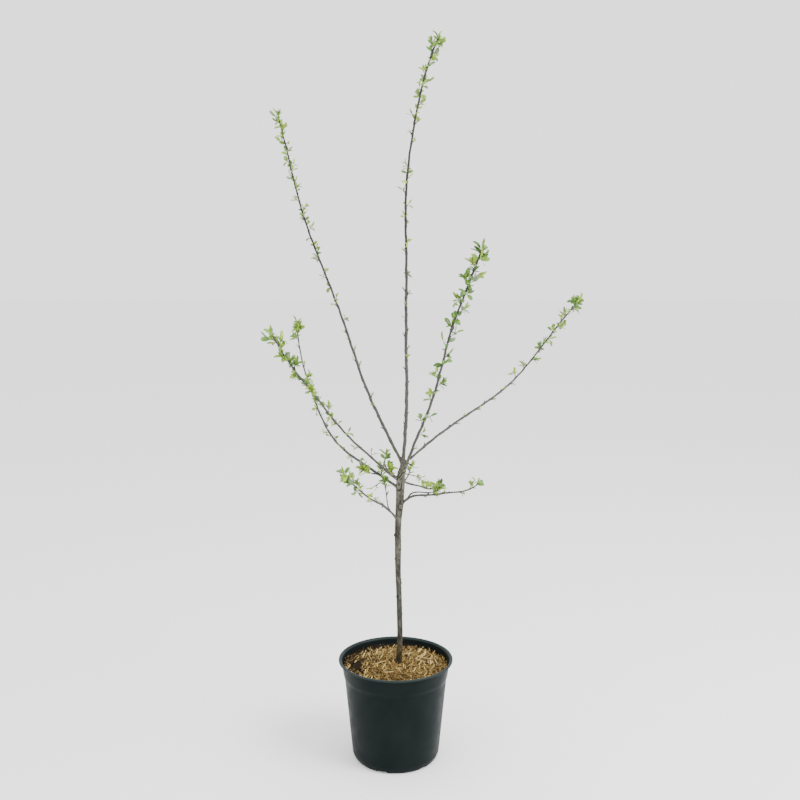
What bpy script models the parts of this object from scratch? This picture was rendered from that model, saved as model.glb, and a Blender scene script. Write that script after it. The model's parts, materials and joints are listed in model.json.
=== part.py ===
"""A young apricot tree, about 1.75 m tall, in a round 10 litre nursery pot.

Metres, +Z up. The origin is the centre of the pot's flat underside, and -Y faces the viewer.
The tree is one trunk that swells where its boughs spring, six main boughs, five short
leafy shoots from the trunk, and a mass of leafy twigs that carries each bough on to its tip.
"""

from dataclasses import dataclass
from math import atan2, cos, pi, radians, sin, sqrt
from random import Random

import bmesh
import bpy
import numpy as np
from mathutils import Matrix, Vector

# Clearance between pieces that touch
GAP = 0.0003

# Pot
POT_HEIGHT = 0.250
RIM_RADIUS = 0.140
RIM_WIDTH = 0.006
RIM_DEPTH = 0.0045
RIM_ROUND = 0.0012
COLLAR_TOP_RADIUS = 0.1325
COLLAR_FOOT_RADIUS = 0.1279
COLLAR_FOOT_HEIGHT = 0.2085
COLLAR_STEP = 0.0022
WALL_TOP_RADIUS = 0.1251
WALL_FOOT_RADIUS = 0.1072
WALL_FOOT_HEIGHT = 0.016
FOOT_RADIUS = 0.0985
FOOT_RING_WIDTH = 0.007
PAD_RADIUS = 0.030
RECESS = 0.004
WALL = 0.002
FLOOR = 0.0025
POT_SIDES = 36
NOTCHES = 6
NOTCH_WIDTH = 0.024
NOTCH_HEIGHT = 0.006
FIRST_NOTCH = radians(-109)

# Potting mix and the shavings that cover it
MIX_TOP = 0.222
MULCH_EDGE_HEIGHT = 0.2315
MULCH_CROWN_HEIGHT = 0.2385
MULCH_CROWN_RADIUS = 0.050

# Trunk: height above the floor, sideways lean and diameter
TRUNK_STATIONS = (
    (MIX_TOP + GAP, 0.0073, 0.0190),
    (0.240, 0.0073, 0.0160),
    (0.262, 0.0086, 0.0144),
    (0.310, 0.0103, 0.0132),
    (0.370, 0.0092, 0.0126),
    (0.420, 0.0080, 0.0128),
    (0.470, 0.0060, 0.0130),
    (0.530, 0.0058, 0.0146),
    (0.590, 0.0062, 0.0152),
    (0.640, 0.0100, 0.0194),
    (0.680, 0.0113, 0.0208),
    (0.710, 0.0132, 0.0184),
    (0.727, 0.0164, 0.0124),
    (0.740, 0.0174, 0.0116),
    (0.747, 0.0178, 0.0096),
)
TRUNK_RINGS = 20
# Old bud and pruning knots: height, bearing in degrees, size
TRUNK_KNOTS = (
    (0.360, -20, 0.0034),
    (0.437, 15, 0.0034),
    (0.497, 185, 0.0030),
    (0.556, 178, 0.0046),
    (0.632, -75, 0.0052),
    (0.686, -110, 0.0056),
)

# Leaves and the short spurs that carry them
LEAF_WIDTH = 0.46
LEAF_THICKNESS = 0.0008
SPUR_THICKNESS = 0.0019
# The spurs crowd towards a limb's tip: 1 spaces them evenly
TIP_CROWDING = 0.78
GOLDEN_ANGLE = radians(137.5)
LEAF_REACH = 0.060
LEAF_CLEARANCE = 0.0008
PLAIN_BOUGH_STEP = 0.030


@dataclass(frozen=True)
class Limb:
    """One shoot: a bow in an upright plane, tapering from foot to tip. Lengths in metres, angles in degrees."""

    name: str
    bearing: float
    foot: float
    reach: float
    rise: float
    starts_at: float
    ends_at: float
    fullness: float
    thickness: float
    tip: float
    springs_from: str = "trunk"
    sway: float = 0.0
    waves: float = 1.5
    phase: float = 0.0
    bare: float = 0.0
    leafy_from: float = 0.0
    empty: tuple = (2.0, 2.0)
    spur_gap: float = 0.024
    spur: float = 0.008
    few_leaves: float = 0.0
    many_leaves: float = 5.0
    small_leaf: float = 0.012
    large_leaf: float = 0.018


# The foot is a height on the trunk, or a share of the length of the limb that it springs from.
LIMBS = (
    Limb(
        name="leader", bearing=35, foot=0.7387,
        reach=0.096, rise=0.979, starts_at=83, ends_at=64, fullness=1.05,
        sway=0.0022, waves=2.5, phase=0.59, thickness=0.0085, tip=0.0036,
        bare=0.4, leafy_from=0.42, empty=(0.72, 0.79), spur_gap=0.023,
        few_leaves=1.3, many_leaves=3.6, small_leaf=0.014, large_leaf=0.0225,
    ),
    Limb(
        name="upper_left", bearing=150, foot=0.7347,
        reach=0.352, rise=0.829, starts_at=59, ends_at=73, fullness=1.08,
        sway=0.0075, waves=1.5, phase=0.58, thickness=0.0074, tip=0.0032,
        bare=0.34, leafy_from=0.38, spur_gap=0.021,
        few_leaves=1.5, many_leaves=2.9, small_leaf=0.014, large_leaf=0.0205,
    ),
    Limb(
        name="upper_right", bearing=-52, foot=0.6888,
        reach=0.273, rise=0.544, starts_at=61, ends_at=62, fullness=0.88,
        sway=0.007, waves=1.5, phase=0.16, thickness=0.0073, tip=0.0034,
        bare=0.16, leafy_from=0.18, spur_gap=0.023, spur=0.012,
        few_leaves=2.1, many_leaves=3.5, small_leaf=0.0195, large_leaf=0.0255,
    ),
    Limb(
        name="right", springs_from="upper_right", bearing=28, foot=0.117,
        reach=0.49, rise=0.362, starts_at=30, ends_at=46, fullness=1.15,
        sway=0.012, waves=1, phase=0.2, thickness=0.0057, tip=0.0034,
        bare=0.5, leafy_from=0.56, spur_gap=0.022,
        few_leaves=2.4, many_leaves=4.4, small_leaf=0.016, large_leaf=0.0225,
    ),
    Limb(
        name="mid_left", bearing=208, foot=0.6906,
        reach=0.316, rise=0.358, starts_at=37, ends_at=59, fullness=0.91,
        sway=0.0019, waves=2, phase=0.92, thickness=0.0058, tip=0.0034,
        bare=0.16, leafy_from=0.18, spur_gap=0.025,
        few_leaves=2.1, many_leaves=4.2, small_leaf=0.015, large_leaf=0.0255,
    ),
    Limb(
        name="low_left", bearing=134, foot=0.6738,
        reach=0.388, rise=0.374, starts_at=14, ends_at=85, fullness=1.31,
        sway=0.0086, waves=1.5, phase=0.16, thickness=0.0072, tip=0.003,
        bare=0.08, leafy_from=0.15, empty=(0.8, 0.93), spur_gap=0.029,
        few_leaves=2.0, many_leaves=3.3, small_leaf=0.0145, large_leaf=0.022,
    ),
    Limb(
        name="low_right", bearing=-32, foot=0.6263,
        reach=0.206, rise=0.081, starts_at=56, ends_at=38, fullness=1.2,
        sway=0.0032, waves=1.5, phase=0.13, thickness=0.0058, tip=0.0028,
        leafy_from=0.86, spur_gap=0.02,
        few_leaves=3, many_leaves=5, small_leaf=0.015, large_leaf=0.0205,
    ),
    Limb(
        name="right_short", bearing=40, foot=0.6952,
        reach=0.12, rise=-0.032, starts_at=-20, ends_at=20, fullness=0.93,
        sway=0.002, waves=1.5, phase=0.49, thickness=0.0054, tip=0.0026,
        leafy_from=0.45, spur_gap=0.018,
        few_leaves=3, many_leaves=5, small_leaf=0.016, large_leaf=0.023,
    ),
    Limb(
        name="right_thin", bearing=8, foot=0.7138,
        reach=0.048, rise=-0.019, starts_at=-31, ends_at=-66, fullness=0.7,
        thickness=0.0028, tip=0.0018,
        leafy_from=0.8,
        many_leaves=4, small_leaf=0.015, large_leaf=0.0175,
    ),
    Limb(
        name="lowest_left", bearing=236, foot=0.5946,
        reach=0.209, rise=0.151, starts_at=46, ends_at=48, fullness=1.1,
        sway=0.0014, waves=1.5, phase=0.98, thickness=0.0056, tip=0.0028,
        leafy_from=0.44, spur_gap=0.018,
        few_leaves=3, many_leaves=5, small_leaf=0.015, large_leaf=0.022,
    ),
    Limb(
        name="inner_left", bearing=172, foot=0.6978,
        reach=0.037, rise=0.053, starts_at=23, ends_at=109, fullness=1.23,
        thickness=0.004, tip=0.0022,
        leafy_from=0.22, spur_gap=0.016,
        few_leaves=4, many_leaves=5, small_leaf=0.021, large_leaf=0.02,
    ),
)

# Side shoots, each part of the mass of the limb that it springs from
SIDE_SHOOTS = (
    Limb(
        name="low_right_side", springs_from="low_right", bearing=-16, foot=0.145,
        reach=0.0746, rise=0.026, starts_at=70, ends_at=34, fullness=1.31,
        thickness=0.0038, tip=0.0024,
        leafy_from=0.75, spur_gap=0.014,
        few_leaves=3, many_leaves=5, small_leaf=0.0153, large_leaf=0.0177,
    ),
    Limb(
        name="right_upturned", springs_from="right_short", bearing=30, foot=0.1,
        reach=0.018, rise=0.031, starts_at=35, ends_at=69, fullness=0.95,
        thickness=0.0036, tip=0.0024,
        leafy_from=0.85,
        many_leaves=6, small_leaf=0.0205, large_leaf=0.0215,
    ),
    Limb(
        name="low_left_inner", springs_from="low_left", bearing=178, foot=0.105,
        reach=0.037, rise=0.013, starts_at=29, ends_at=43, fullness=1.02,
        thickness=0.0032, tip=0.0022,
        leafy_from=0.7, spur_gap=0.012,
        few_leaves=5, many_leaves=6, small_leaf=0.0225, large_leaf=0.0265,
    ),
    Limb(
        name="low_left_drooping", springs_from="low_left", bearing=200, foot=0.09,
        reach=0.027, rise=-0.022, starts_at=-58, ends_at=-32, fullness=1.3,
        thickness=0.0028, tip=0.002,
        leafy_from=0.6, spur_gap=0.012,
        few_leaves=3, many_leaves=4, small_leaf=0.0118, large_leaf=0.0142,
    ),
    Limb(
        name="lowest_left_side", springs_from="lowest_left", bearing=200, foot=0.2,
        reach=0.01, rise=0.068, starts_at=80, ends_at=80, fullness=0.83,
        thickness=0.003, tip=0.002,
        leafy_from=0.8, spur_gap=0.012,
        few_leaves=3, many_leaves=5, small_leaf=0.0142, large_leaf=0.0153,
    ),
    Limb(
        name="lowest_left_stub", springs_from="lowest_left", bearing=190, foot=0.225,
        reach=0.016, rise=0.016, starts_at=52, ends_at=31, fullness=0.98,
        thickness=0.0026, tip=0.002,
        leafy_from=0.95,
        many_leaves=2, small_leaf=0.0106, large_leaf=0.0106,
    ),
    Limb(
        name="low_left_tuft", springs_from="low_left", bearing=120, foot=0.1,
        reach=0.004, rise=0.014, starts_at=70, ends_at=80, fullness=1,
        thickness=0.0026, tip=0.002,
        leafy_from=0.95,
        many_leaves=5, small_leaf=0.0205, large_leaf=0.0215,
    ),
    Limb(
        name="inner_left_side", springs_from="inner_left", bearing=250, foot=0.3,
        reach=0.004, rise=0.009, starts_at=60, ends_at=75, fullness=1,
        thickness=0.0026, tip=0.002,
        leafy_from=0.95,
        many_leaves=5, small_leaf=0.0185, large_leaf=0.0195,
    ),
)


def clear_scene():
    for obj in list(bpy.data.objects):
        bpy.data.objects.remove(obj)
    for mesh in list(bpy.data.meshes):
        bpy.data.meshes.remove(mesh)


def new_collection(name):
    collection = bpy.data.collections.new(name)
    bpy.context.scene.collection.children.link(collection)
    return collection


def plain_material(name, color, roughness):
    material = bpy.data.materials.new(name)
    material.use_nodes = True
    shader = material.node_tree.nodes["Principled BSDF"]
    shader.inputs["Base Color"].default_value = (*color, 1)
    shader.inputs["Roughness"].default_value = roughness
    shader.inputs["Metallic"].default_value = 0
    return material


def add_mesh(name, mesh, collection, material=None):
    obj = bpy.data.objects.new(name, mesh)
    collection.objects.link(obj)
    if material:
        mesh.materials.clear()
        mesh.materials.append(material)
    return obj


def add_cutter(name, mesh):
    cutter = add_mesh(name, mesh, CUTTERS)
    cutter.hide_render = True
    cutter.display_type = "WIRE"
    return cutter


def turned(name, profile, steps, collection, material):
    """A profile of (radius, height), from the axis over the inside and down the outside, turned about Z."""
    mesh = bpy.data.meshes.new(name)
    points = [(radius, 0, height) for radius, height in profile]
    edges = [(i, i + 1) for i in range(len(points) - 1)]
    mesh.from_pydata(points, edges, [])
    obj = add_mesh(name, mesh, collection, material)
    screw = obj.modifiers.new("Turn", "SCREW")
    screw.steps = steps
    screw.render_steps = steps
    screw.use_merge_vertices = True
    screw.merge_threshold = 0.0001
    return obj


def boolean(obj, operation, other, solver="EXACT"):
    """Cut by, or joined to, one object or a whole collection."""
    modifier = obj.modifiers.new(operation.title(), "BOOLEAN")
    modifier.operation = operation
    modifier.solver = solver
    if isinstance(other, bpy.types.Collection):
        modifier.operand_type = "COLLECTION"
        modifier.collection = other
    else:
        modifier.object = other


def applied(obj):
    """The object's mesh with its modifiers in it."""
    graph = bpy.context.evaluated_depsgraph_get()
    mesh = bpy.data.meshes.new_from_object(obj.evaluated_get(graph))
    obj.modifiers.clear()
    obj.data = mesh
    return obj


def keep_main_body(mesh):
    """Only the largest shell stays: a hollow sealed by the joining is filled and a loose scrap dropped."""
    work = bmesh.new()
    work.from_mesh(mesh)
    bmesh.ops.dissolve_degenerate(work, dist=1e-6, edges=work.edges)
    left = set(work.faces)
    shells = []
    while left:
        shell = {left.pop()}
        front = set(shell)
        while front:
            near = {g for f in front for e in f.edges for g in e.link_faces}
            front = (near & left) - shell
            shell |= front
            left -= front
        shells.append(shell)
    shells.sort(key=lambda shell: sum(f.calc_area() for f in shell))
    scraps = [f for shell in shells[:-1] for f in shell]
    bmesh.ops.delete(work, geom=scraps, context="FACES")
    bmesh.ops.triangulate(work, faces=work.faces)
    work.to_mesh(mesh)
    work.free()


def tube(name, points, radii, resolution, collection, material=None):
    """A tapering tube along the points, closed at both ends, as a mesh."""
    curve = bpy.data.curves.new(name, "CURVE")
    curve.dimensions = "3D"
    curve.bevel_depth = 1.0
    curve.bevel_resolution = resolution
    curve.use_fill_caps = True
    spline = curve.splines.new("POLY")
    spline.points.add(len(points) - 1)
    for spline_point, point, radius in zip(spline.points, points, radii):
        spline_point.co = (*point, 1)
        spline_point.radius = radius
    guide = bpy.data.objects.new(name, curve)
    bpy.context.scene.collection.objects.link(guide)
    graph = bpy.context.evaluated_depsgraph_get()
    mesh = bpy.data.meshes.new_from_object(guide.evaluated_get(graph))
    work = bmesh.new()
    work.from_mesh(mesh)
    bmesh.ops.remove_doubles(work, verts=work.verts, dist=1e-6)
    bmesh.ops.recalc_face_normals(work, faces=work.faces)
    work.to_mesh(mesh)
    work.free()
    matrix = guide.matrix_world.copy()
    bpy.data.objects.remove(guide)
    bpy.data.curves.remove(curve)
    mesh.shade_smooth()
    mesh.set_sharp_from_angle(angle=radians(50))
    mesh.name = name
    obj = add_mesh(name, mesh, collection, material)
    obj.matrix_world = matrix
    return obj


def smooth_through(stations, height):
    """The second and third values of the stations at a height, on a smooth curve through them."""
    heights = [station[0] for station in stations]
    last = len(stations) - 2
    i = min(max(int(np.searchsorted(heights, height)) - 1, 0), last)
    t = (height - heights[i]) / (heights[i + 1] - heights[i])
    found = []
    for column in (1, 2):
        a, b = stations[i][column], stations[i + 1][column]
        before = stations[max(i - 1, 0)]
        after = stations[min(i + 2, last + 1)]
        span = heights[i + 1] - heights[i]
        start = (b - before[column]) / (heights[i + 1] - before[0]) * span
        end = (after[column] - a) / (after[0] - heights[i]) * span
        found.append(
            (2 * t**3 - 3 * t**2 + 1) * a
            + (t**3 - 2 * t**2 + t) * start
            + (3 * t**2 - 2 * t**3) * b
            + (t**3 - t**2) * end
        )
    return found


def trunk_axis(height):
    return Vector((smooth_through(TRUNK_STATIONS, height)[0], 0, height))


def trunk_radius(height):
    return smooth_through(TRUNK_STATIONS, height)[1] / 2


def limb_point(limb, share):
    """The place on a limb's centre line at a share of its curve, from 0 at the foot to 1 at the tip."""
    chord = sqrt(limb.reach**2 + limb.rise**2)
    handle = chord * limb.fullness / 3
    start, end = radians(limb.starts_at), radians(limb.ends_at)
    corners = (
        Vector((0, 0)),
        Vector((cos(start), sin(start))) * handle,
        Vector((limb.reach, limb.rise)) - Vector((cos(end), sin(end))) * handle,
        Vector((limb.reach, limb.rise)),
    )
    rest = 1 - share
    weights = (rest**3, 3 * rest**2 * share, 3 * rest * share**2, share**3)
    place = sum((corner * weight for corner, weight in zip(corners, weights)), Vector((0, 0)))
    swing = limb.sway * sin(2 * pi * (limb.waves * share + limb.phase)) * 4 * share * rest
    slope = atan2(limb.rise, limb.reach)
    place += Vector((-sin(slope), cos(slope))) * swing
    bearing = radians(limb.bearing)
    return limb_foot(limb) + Vector((place.x * cos(bearing), place.x * sin(bearing), place.y))


def limb_foot(limb):
    if limb.springs_from == "trunk":
        return trunk_axis(limb.foot)
    return limb_point(LIMB_BY_NAME[limb.springs_from], limb.foot)


def limb_radius(limb, share):
    return (limb.thickness + (limb.tip - limb.thickness) * share**0.8) / 2


def limb_stretch(limb, start, end, step, trim_start=0.0, trim_end=0.0):
    """Points and radii between two shares of a limb, its ends drawn in by the trims."""
    length = sum(
        (limb_point(limb, start + (end - start) * (i + 1) / 40) - limb_point(limb, start + (end - start) * i / 40)).length
        for i in range(40)
    )
    count = max(int(round(length / step)), 2)
    low = start + (end - start) * trim_start / length
    high = end - (end - start) * trim_end / length
    shares = [low + (high - low) * i / count for i in range(count + 1)]
    return [limb_point(limb, share) for share in shares], [limb_radius(limb, share) for share in shares]


class Line:
    """A limb's centre line with its radii, to measure how far a place is from its bark."""

    def __init__(self, name, points, radii):
        self.name = name
        self.starts = np.array([tuple(point) for point in points[:-1]])
        self.steps = np.array([tuple(point) for point in points[1:]]) - self.starts
        self.radii = np.array(radii[:-1])

    def distance(self, place):
        """From the place to the bark, and to the centre line."""
        away = np.array(tuple(place)) - self.starts
        along = (away * self.steps).sum(1) / (self.steps**2).sum(1)
        along = np.clip(along, 0, 1)[:, None]
        reach = np.linalg.norm(away - self.steps * along, axis=1)
        return (reach - self.radii).min(), reach.min()


def pot_wall_radius(height):
    """Outer radius of the pot's wall below its collar."""
    share = (height - WALL_FOOT_HEIGHT) / (COLLAR_FOOT_HEIGHT - WALL_FOOT_HEIGHT)
    return WALL_FOOT_RADIUS + (WALL_TOP_RADIUS - WALL_FOOT_RADIUS) * share


def collar_radius(height):
    """Outer radius of the collar under the rim."""
    top = POT_HEIGHT - RIM_DEPTH
    share = (height - COLLAR_FOOT_HEIGHT) / (top - COLLAR_FOOT_HEIGHT)
    return COLLAR_FOOT_RADIUS + (COLLAR_TOP_RADIUS - COLLAR_FOOT_RADIUS) * share


def make_pot():
    rim_in = RIM_RADIUS - RIM_WIDTH
    ring_in = FOOT_RADIUS - FOOT_RING_WIDTH
    slope = 0.002
    inside = [
        (0, FLOOR),
        (PAD_RADIUS - 0.001, FLOOR),
        (PAD_RADIUS + 0.001, RECESS + FLOOR),
        (ring_in - 0.001, RECESS + FLOOR),
        (ring_in + 0.001, FLOOR),
        (FOOT_RADIUS - 0.001, FLOOR),
        (FOOT_RADIUS + 0.0055, 0.0085),
        (WALL_FOOT_RADIUS - WALL, WALL_FOOT_HEIGHT + 0.001),
        (pot_wall_radius(COLLAR_FOOT_HEIGHT) - WALL, COLLAR_FOOT_HEIGHT - COLLAR_STEP),
        (COLLAR_FOOT_RADIUS - WALL, COLLAR_FOOT_HEIGHT),
        (COLLAR_TOP_RADIUS - WALL, POT_HEIGHT - RIM_DEPTH),
        (rim_in - RIM_ROUND, POT_HEIGHT - RIM_ROUND),
    ]
    outside = [
        (rim_in + 0.001, POT_HEIGHT),
        (RIM_RADIUS - RIM_ROUND, POT_HEIGHT),
        (RIM_RADIUS, POT_HEIGHT - RIM_ROUND),
        (RIM_RADIUS, POT_HEIGHT - RIM_DEPTH),
        (COLLAR_TOP_RADIUS + RIM_ROUND, POT_HEIGHT - RIM_DEPTH),
        (COLLAR_TOP_RADIUS, POT_HEIGHT - RIM_DEPTH - RIM_ROUND),
        (COLLAR_FOOT_RADIUS, COLLAR_FOOT_HEIGHT),
        (WALL_TOP_RADIUS, COLLAR_FOOT_HEIGHT - COLLAR_STEP),
        (WALL_FOOT_RADIUS, WALL_FOOT_HEIGHT),
        (FOOT_RADIUS + 0.0060, 0.0060),
        (FOOT_RADIUS, 0),
        (ring_in, 0),
        (ring_in - slope, RECESS),
        (PAD_RADIUS + slope, RECESS),
        (PAD_RADIUS, 0),
        (0, 0),
    ]
    material = plain_material("pot_plastic", (0.016, 0.024, 0.024), 0.45)
    pot = turned("pot", inside + outside, POT_SIDES, PARTS, material)
    notches = new_collection("pot_notches")
    inner = FOOT_RADIUS - FOOT_RING_WIDTH - 0.0045
    outer = WALL_FOOT_RADIUS + 0.006
    for i in range(NOTCHES):
        bearing = FIRST_NOTCH + 2 * pi * i / NOTCHES
        work = bmesh.new()
        place = Matrix.Rotation(bearing, 4, "Z") @ Matrix.Translation(
            ((inner + outer) / 2, 0, NOTCH_HEIGHT / 2 - 0.001)
        )
        size = Matrix.Diagonal((outer - inner, NOTCH_WIDTH, NOTCH_HEIGHT + 0.002, 1))
        bmesh.ops.create_cube(work, size=1, matrix=place @ size)
        mesh = bpy.data.meshes.new("notch_cutter")
        work.to_mesh(mesh)
        work.free()
        cutter = add_cutter(f"notch_cutter_{i + 1}", mesh)
        CUTTERS.objects.unlink(cutter)
        notches.objects.link(cutter)
    notches.hide_render = True
    boolean(pot, "DIFFERENCE", notches)
    return pot


def make_root_ball():
    """The moist potting mix, a plain solid that fills the pot to just under the shavings."""
    bottom = RECESS + FLOOR + GAP
    wall = GAP + WALL
    shoulder = COLLAR_FOOT_HEIGHT - COLLAR_STEP
    profile = [
        (0, MIX_TOP),
        (collar_radius(MIX_TOP) - wall, MIX_TOP),
        (collar_radius(COLLAR_FOOT_HEIGHT) - wall, COLLAR_FOOT_HEIGHT + GAP),
        (pot_wall_radius(shoulder) - wall, shoulder),
        (pot_wall_radius(0.019) - wall - 0.0002, 0.019),
        (FOOT_RADIUS - FOOT_RING_WIDTH - 0.004, bottom),
        (0, bottom),
    ]
    material = plain_material("potting_mix", (0.020, 0.014, 0.010), 0.95)
    return turned("root_ball", profile, POT_SIDES, PARTS, material)


def make_mulch(trunk_clearance):
    """The layer of wood shavings, lowest at the pot's wall and crowned round the trunk."""
    bottom = MIX_TOP + GAP
    wall = GAP + WALL
    mid_radius = (MULCH_CROWN_RADIUS + COLLAR_TOP_RADIUS) / 2
    mid_height = (MULCH_CROWN_HEIGHT + MULCH_EDGE_HEIGHT) / 2 + 0.001
    profile = [
        (0, MULCH_CROWN_HEIGHT + 0.001),
        (MULCH_CROWN_RADIUS, MULCH_CROWN_HEIGHT),
        (mid_radius, mid_height),
        (collar_radius(MULCH_EDGE_HEIGHT) - wall - 0.004, MULCH_EDGE_HEIGHT),
        (collar_radius(MULCH_EDGE_HEIGHT - 0.003) - wall, MULCH_EDGE_HEIGHT - 0.003),
        (collar_radius(bottom) - wall, bottom),
        (0, bottom),
    ]
    material = plain_material("wood_shavings", (0.45, 0.30, 0.13), 0.9)
    mulch = turned("mulch", profile, POT_SIDES, PARTS, material)
    boolean(mulch, "DIFFERENCE", trunk_clearance)
    return mulch


def trunk_mesh(name, grow, collection, material=None):
    """The trunk and its knots as one solid, all their radii grown by the same amount."""
    low, high = TRUNK_STATIONS[0][0], TRUNK_STATIONS[-1][0] + grow
    heights = [low + (high - low) * i / TRUNK_RINGS for i in range(TRUNK_RINGS + 1)]
    points = [trunk_axis(height) for height in heights]
    radii = [trunk_radius(height) + grow for height in heights]
    if grow:
        points.insert(0, points[0] - Vector((0, 0, 0.01)))
        radii.insert(0, radii[0])
    trunk = tube(name, points, radii, 2, collection, material)
    knots = new_collection(name + "_knots")
    for height, bearing, size in TRUNK_KNOTS:
        turn = radians(bearing)
        side = Vector((cos(turn), sin(turn), 0))
        centre = trunk_axis(height) + side * (trunk_radius(height) - size * 0.15)
        work = bmesh.new()
        scale = Matrix.Diagonal((size + grow, size + grow, size * 1.25 + grow, 1))
        place = Matrix.Translation(centre) @ Matrix.Rotation(turn, 4, "Z") @ scale
        bmesh.ops.create_uvsphere(work, u_segments=6, v_segments=4, radius=1, matrix=place)
        mesh = bpy.data.meshes.new("knot")
        work.to_mesh(mesh)
        work.free()
        add_mesh("knot", mesh, knots)
    boolean(trunk, "UNION", knots)
    applied(trunk)
    remove_collection(knots)
    keep_main_body(trunk.data)
    return trunk


def remove_collection(collection):
    for obj in list(collection.objects):
        bpy.data.objects.remove(obj)
    bpy.data.collections.remove(collection)


def bough_mesh(limb, name, grow, collection, material=None):
    """A bough from its foot, inside what carries it, to where its leafy twigs begin."""
    points, radii = limb_stretch(limb, 0, limb.bare, PLAIN_BOUGH_STEP, trim_end=GAP / 2)
    return tube(name, points, [radius + grow for radius in radii], 2, collection, material)


def leaf_and_spur_rule(limb, first, last):
    """Yields each spur along a limb between two shares: its foot, direction, length and leaves.

    A leaf is its root, direction, face and length.
    """
    span = last - first
    length = sum(
        (limb_point(limb, first + span * (i + 1) / 40) - limb_point(limb, first + span * i / 40)).length
        for i in range(40)
    )
    count = max(int(length / limb.spur_gap), 0)
    for k in range(count + 1):
        chance = Random(f"{limb.name} spur {k}")
        at_tip = k == count
        part = 1.0 if at_tip else (k + chance.uniform(0.2, 0.8)) / count
        share = first + span * part**TIP_CROWDING
        if limb.empty[0] < share < limb.empty[1]:
            continue
        ahead = limb_point(limb, min(share + 0.01, 1)) - limb_point(limb, min(share, 0.99))
        ahead.normalize()
        side = ahead.orthogonal().normalized()
        side = Matrix.Rotation(k * GOLDEN_ANGLE + chance.uniform(-0.5, 0.5), 3, ahead) @ side
        lean = 0.0 if at_tip else radians(chance.uniform(34, 56))
        along = (ahead * cos(lean) + side * sin(lean)).normalized()
        spur = 0.004 if at_tip else limb.spur * chance.uniform(0.7, 1.4)
        foot = limb_point(limb, share)
        if not at_tip:
            spur += limb_radius(limb, share)
        growth = part**1.3
        number = limb.few_leaves + (limb.many_leaves - limb.few_leaves) * growth
        number = int(round(number + chance.uniform(-0.7, 0.7))) + (1 if at_tip else 0)
        size = limb.small_leaf + (limb.large_leaf - limb.small_leaf) * growth
        yield foot, along, spur, list(rosette(chance, foot, along, side, spur, max(number, 1), size))


def rosette(chance, foot, along, side, spur, number, size):
    """The leaves of one spur, opening outwards from its tip, the outer ones lowest."""
    across = along.cross(side).normalized()
    side = across.cross(along).normalized()
    turn = chance.uniform(0, 2 * pi)
    for i in range(number):
        inner = i / max(number - 1, 1)
        opening = radians(72 - 48 * inner + chance.uniform(-12, 12))
        round_it = turn + i * GOLDEN_ANGLE + chance.uniform(-0.35, 0.35)
        outward = side * cos(round_it) + across * sin(round_it)
        direction = along * cos(opening) + outward * sin(opening)
        direction = (direction + Vector((0, 0, chance.uniform(0.05, 0.40)))).normalized()
        face = along - direction * along.dot(direction)
        if face.length < 0.05:
            face = outward - direction * outward.dot(direction)
        face = Matrix.Rotation(chance.uniform(-0.5, 0.5), 3, direction) @ face.normalized()
        root = foot + along * spur * (0.62 + 0.34 * inner)
        yield root, direction, face, size * chance.uniform(0.72, 1.18)


def spur_mesh(foot, along, length, radius):
    """A three-sided twig that tapers to its tip."""
    work = bmesh.new()
    turn = along.to_track_quat("Z", "X").to_matrix().to_4x4()
    middle = Matrix.Translation(foot + along * length / 2)
    bmesh.ops.create_cone(
        work, cap_ends=True, segments=3, radius1=radius, radius2=radius * 0.7,
        depth=length, matrix=middle @ turn,
    )
    mesh = bpy.data.meshes.new("spur")
    work.to_mesh(mesh)
    work.free()
    return mesh


def leaf_mesh(root, direction, face, length):
    """A leaf of eight faces, pointed at both ends."""
    work = bmesh.new()
    width = face.cross(direction).normalized()
    turn = Matrix((width, face, direction)).transposed().to_4x4()
    size = Matrix.Diagonal((length * LEAF_WIDTH / 2, LEAF_THICKNESS / 2, length / 2, 1))
    middle = Matrix.Translation(root + direction * length / 2)
    bmesh.ops.create_uvsphere(work, u_segments=4, v_segments=2, radius=1, matrix=middle @ turn @ size)
    mesh = bpy.data.meshes.new("leaf")
    work.to_mesh(mesh)
    work.free()
    return mesh


def keeps_to_own_space(places, breadth, own_lines, other_stems, limbs):
    """Whether places along a twig or leaf stay by their own stem and clear of every limb."""
    for place in places:
        nearest = min(line.distance(place)[1] for line in own_lines)
        if nearest > LEAF_REACH:
            return False
        if any(line.distance(place)[0] < breadth + LEAF_CLEARANCE for line in limbs):
            return False
        if any(line.distance(place)[1] < nearest + 2 * breadth + LEAF_CLEARANCE for line in other_stems):
            return False
    return True


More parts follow.
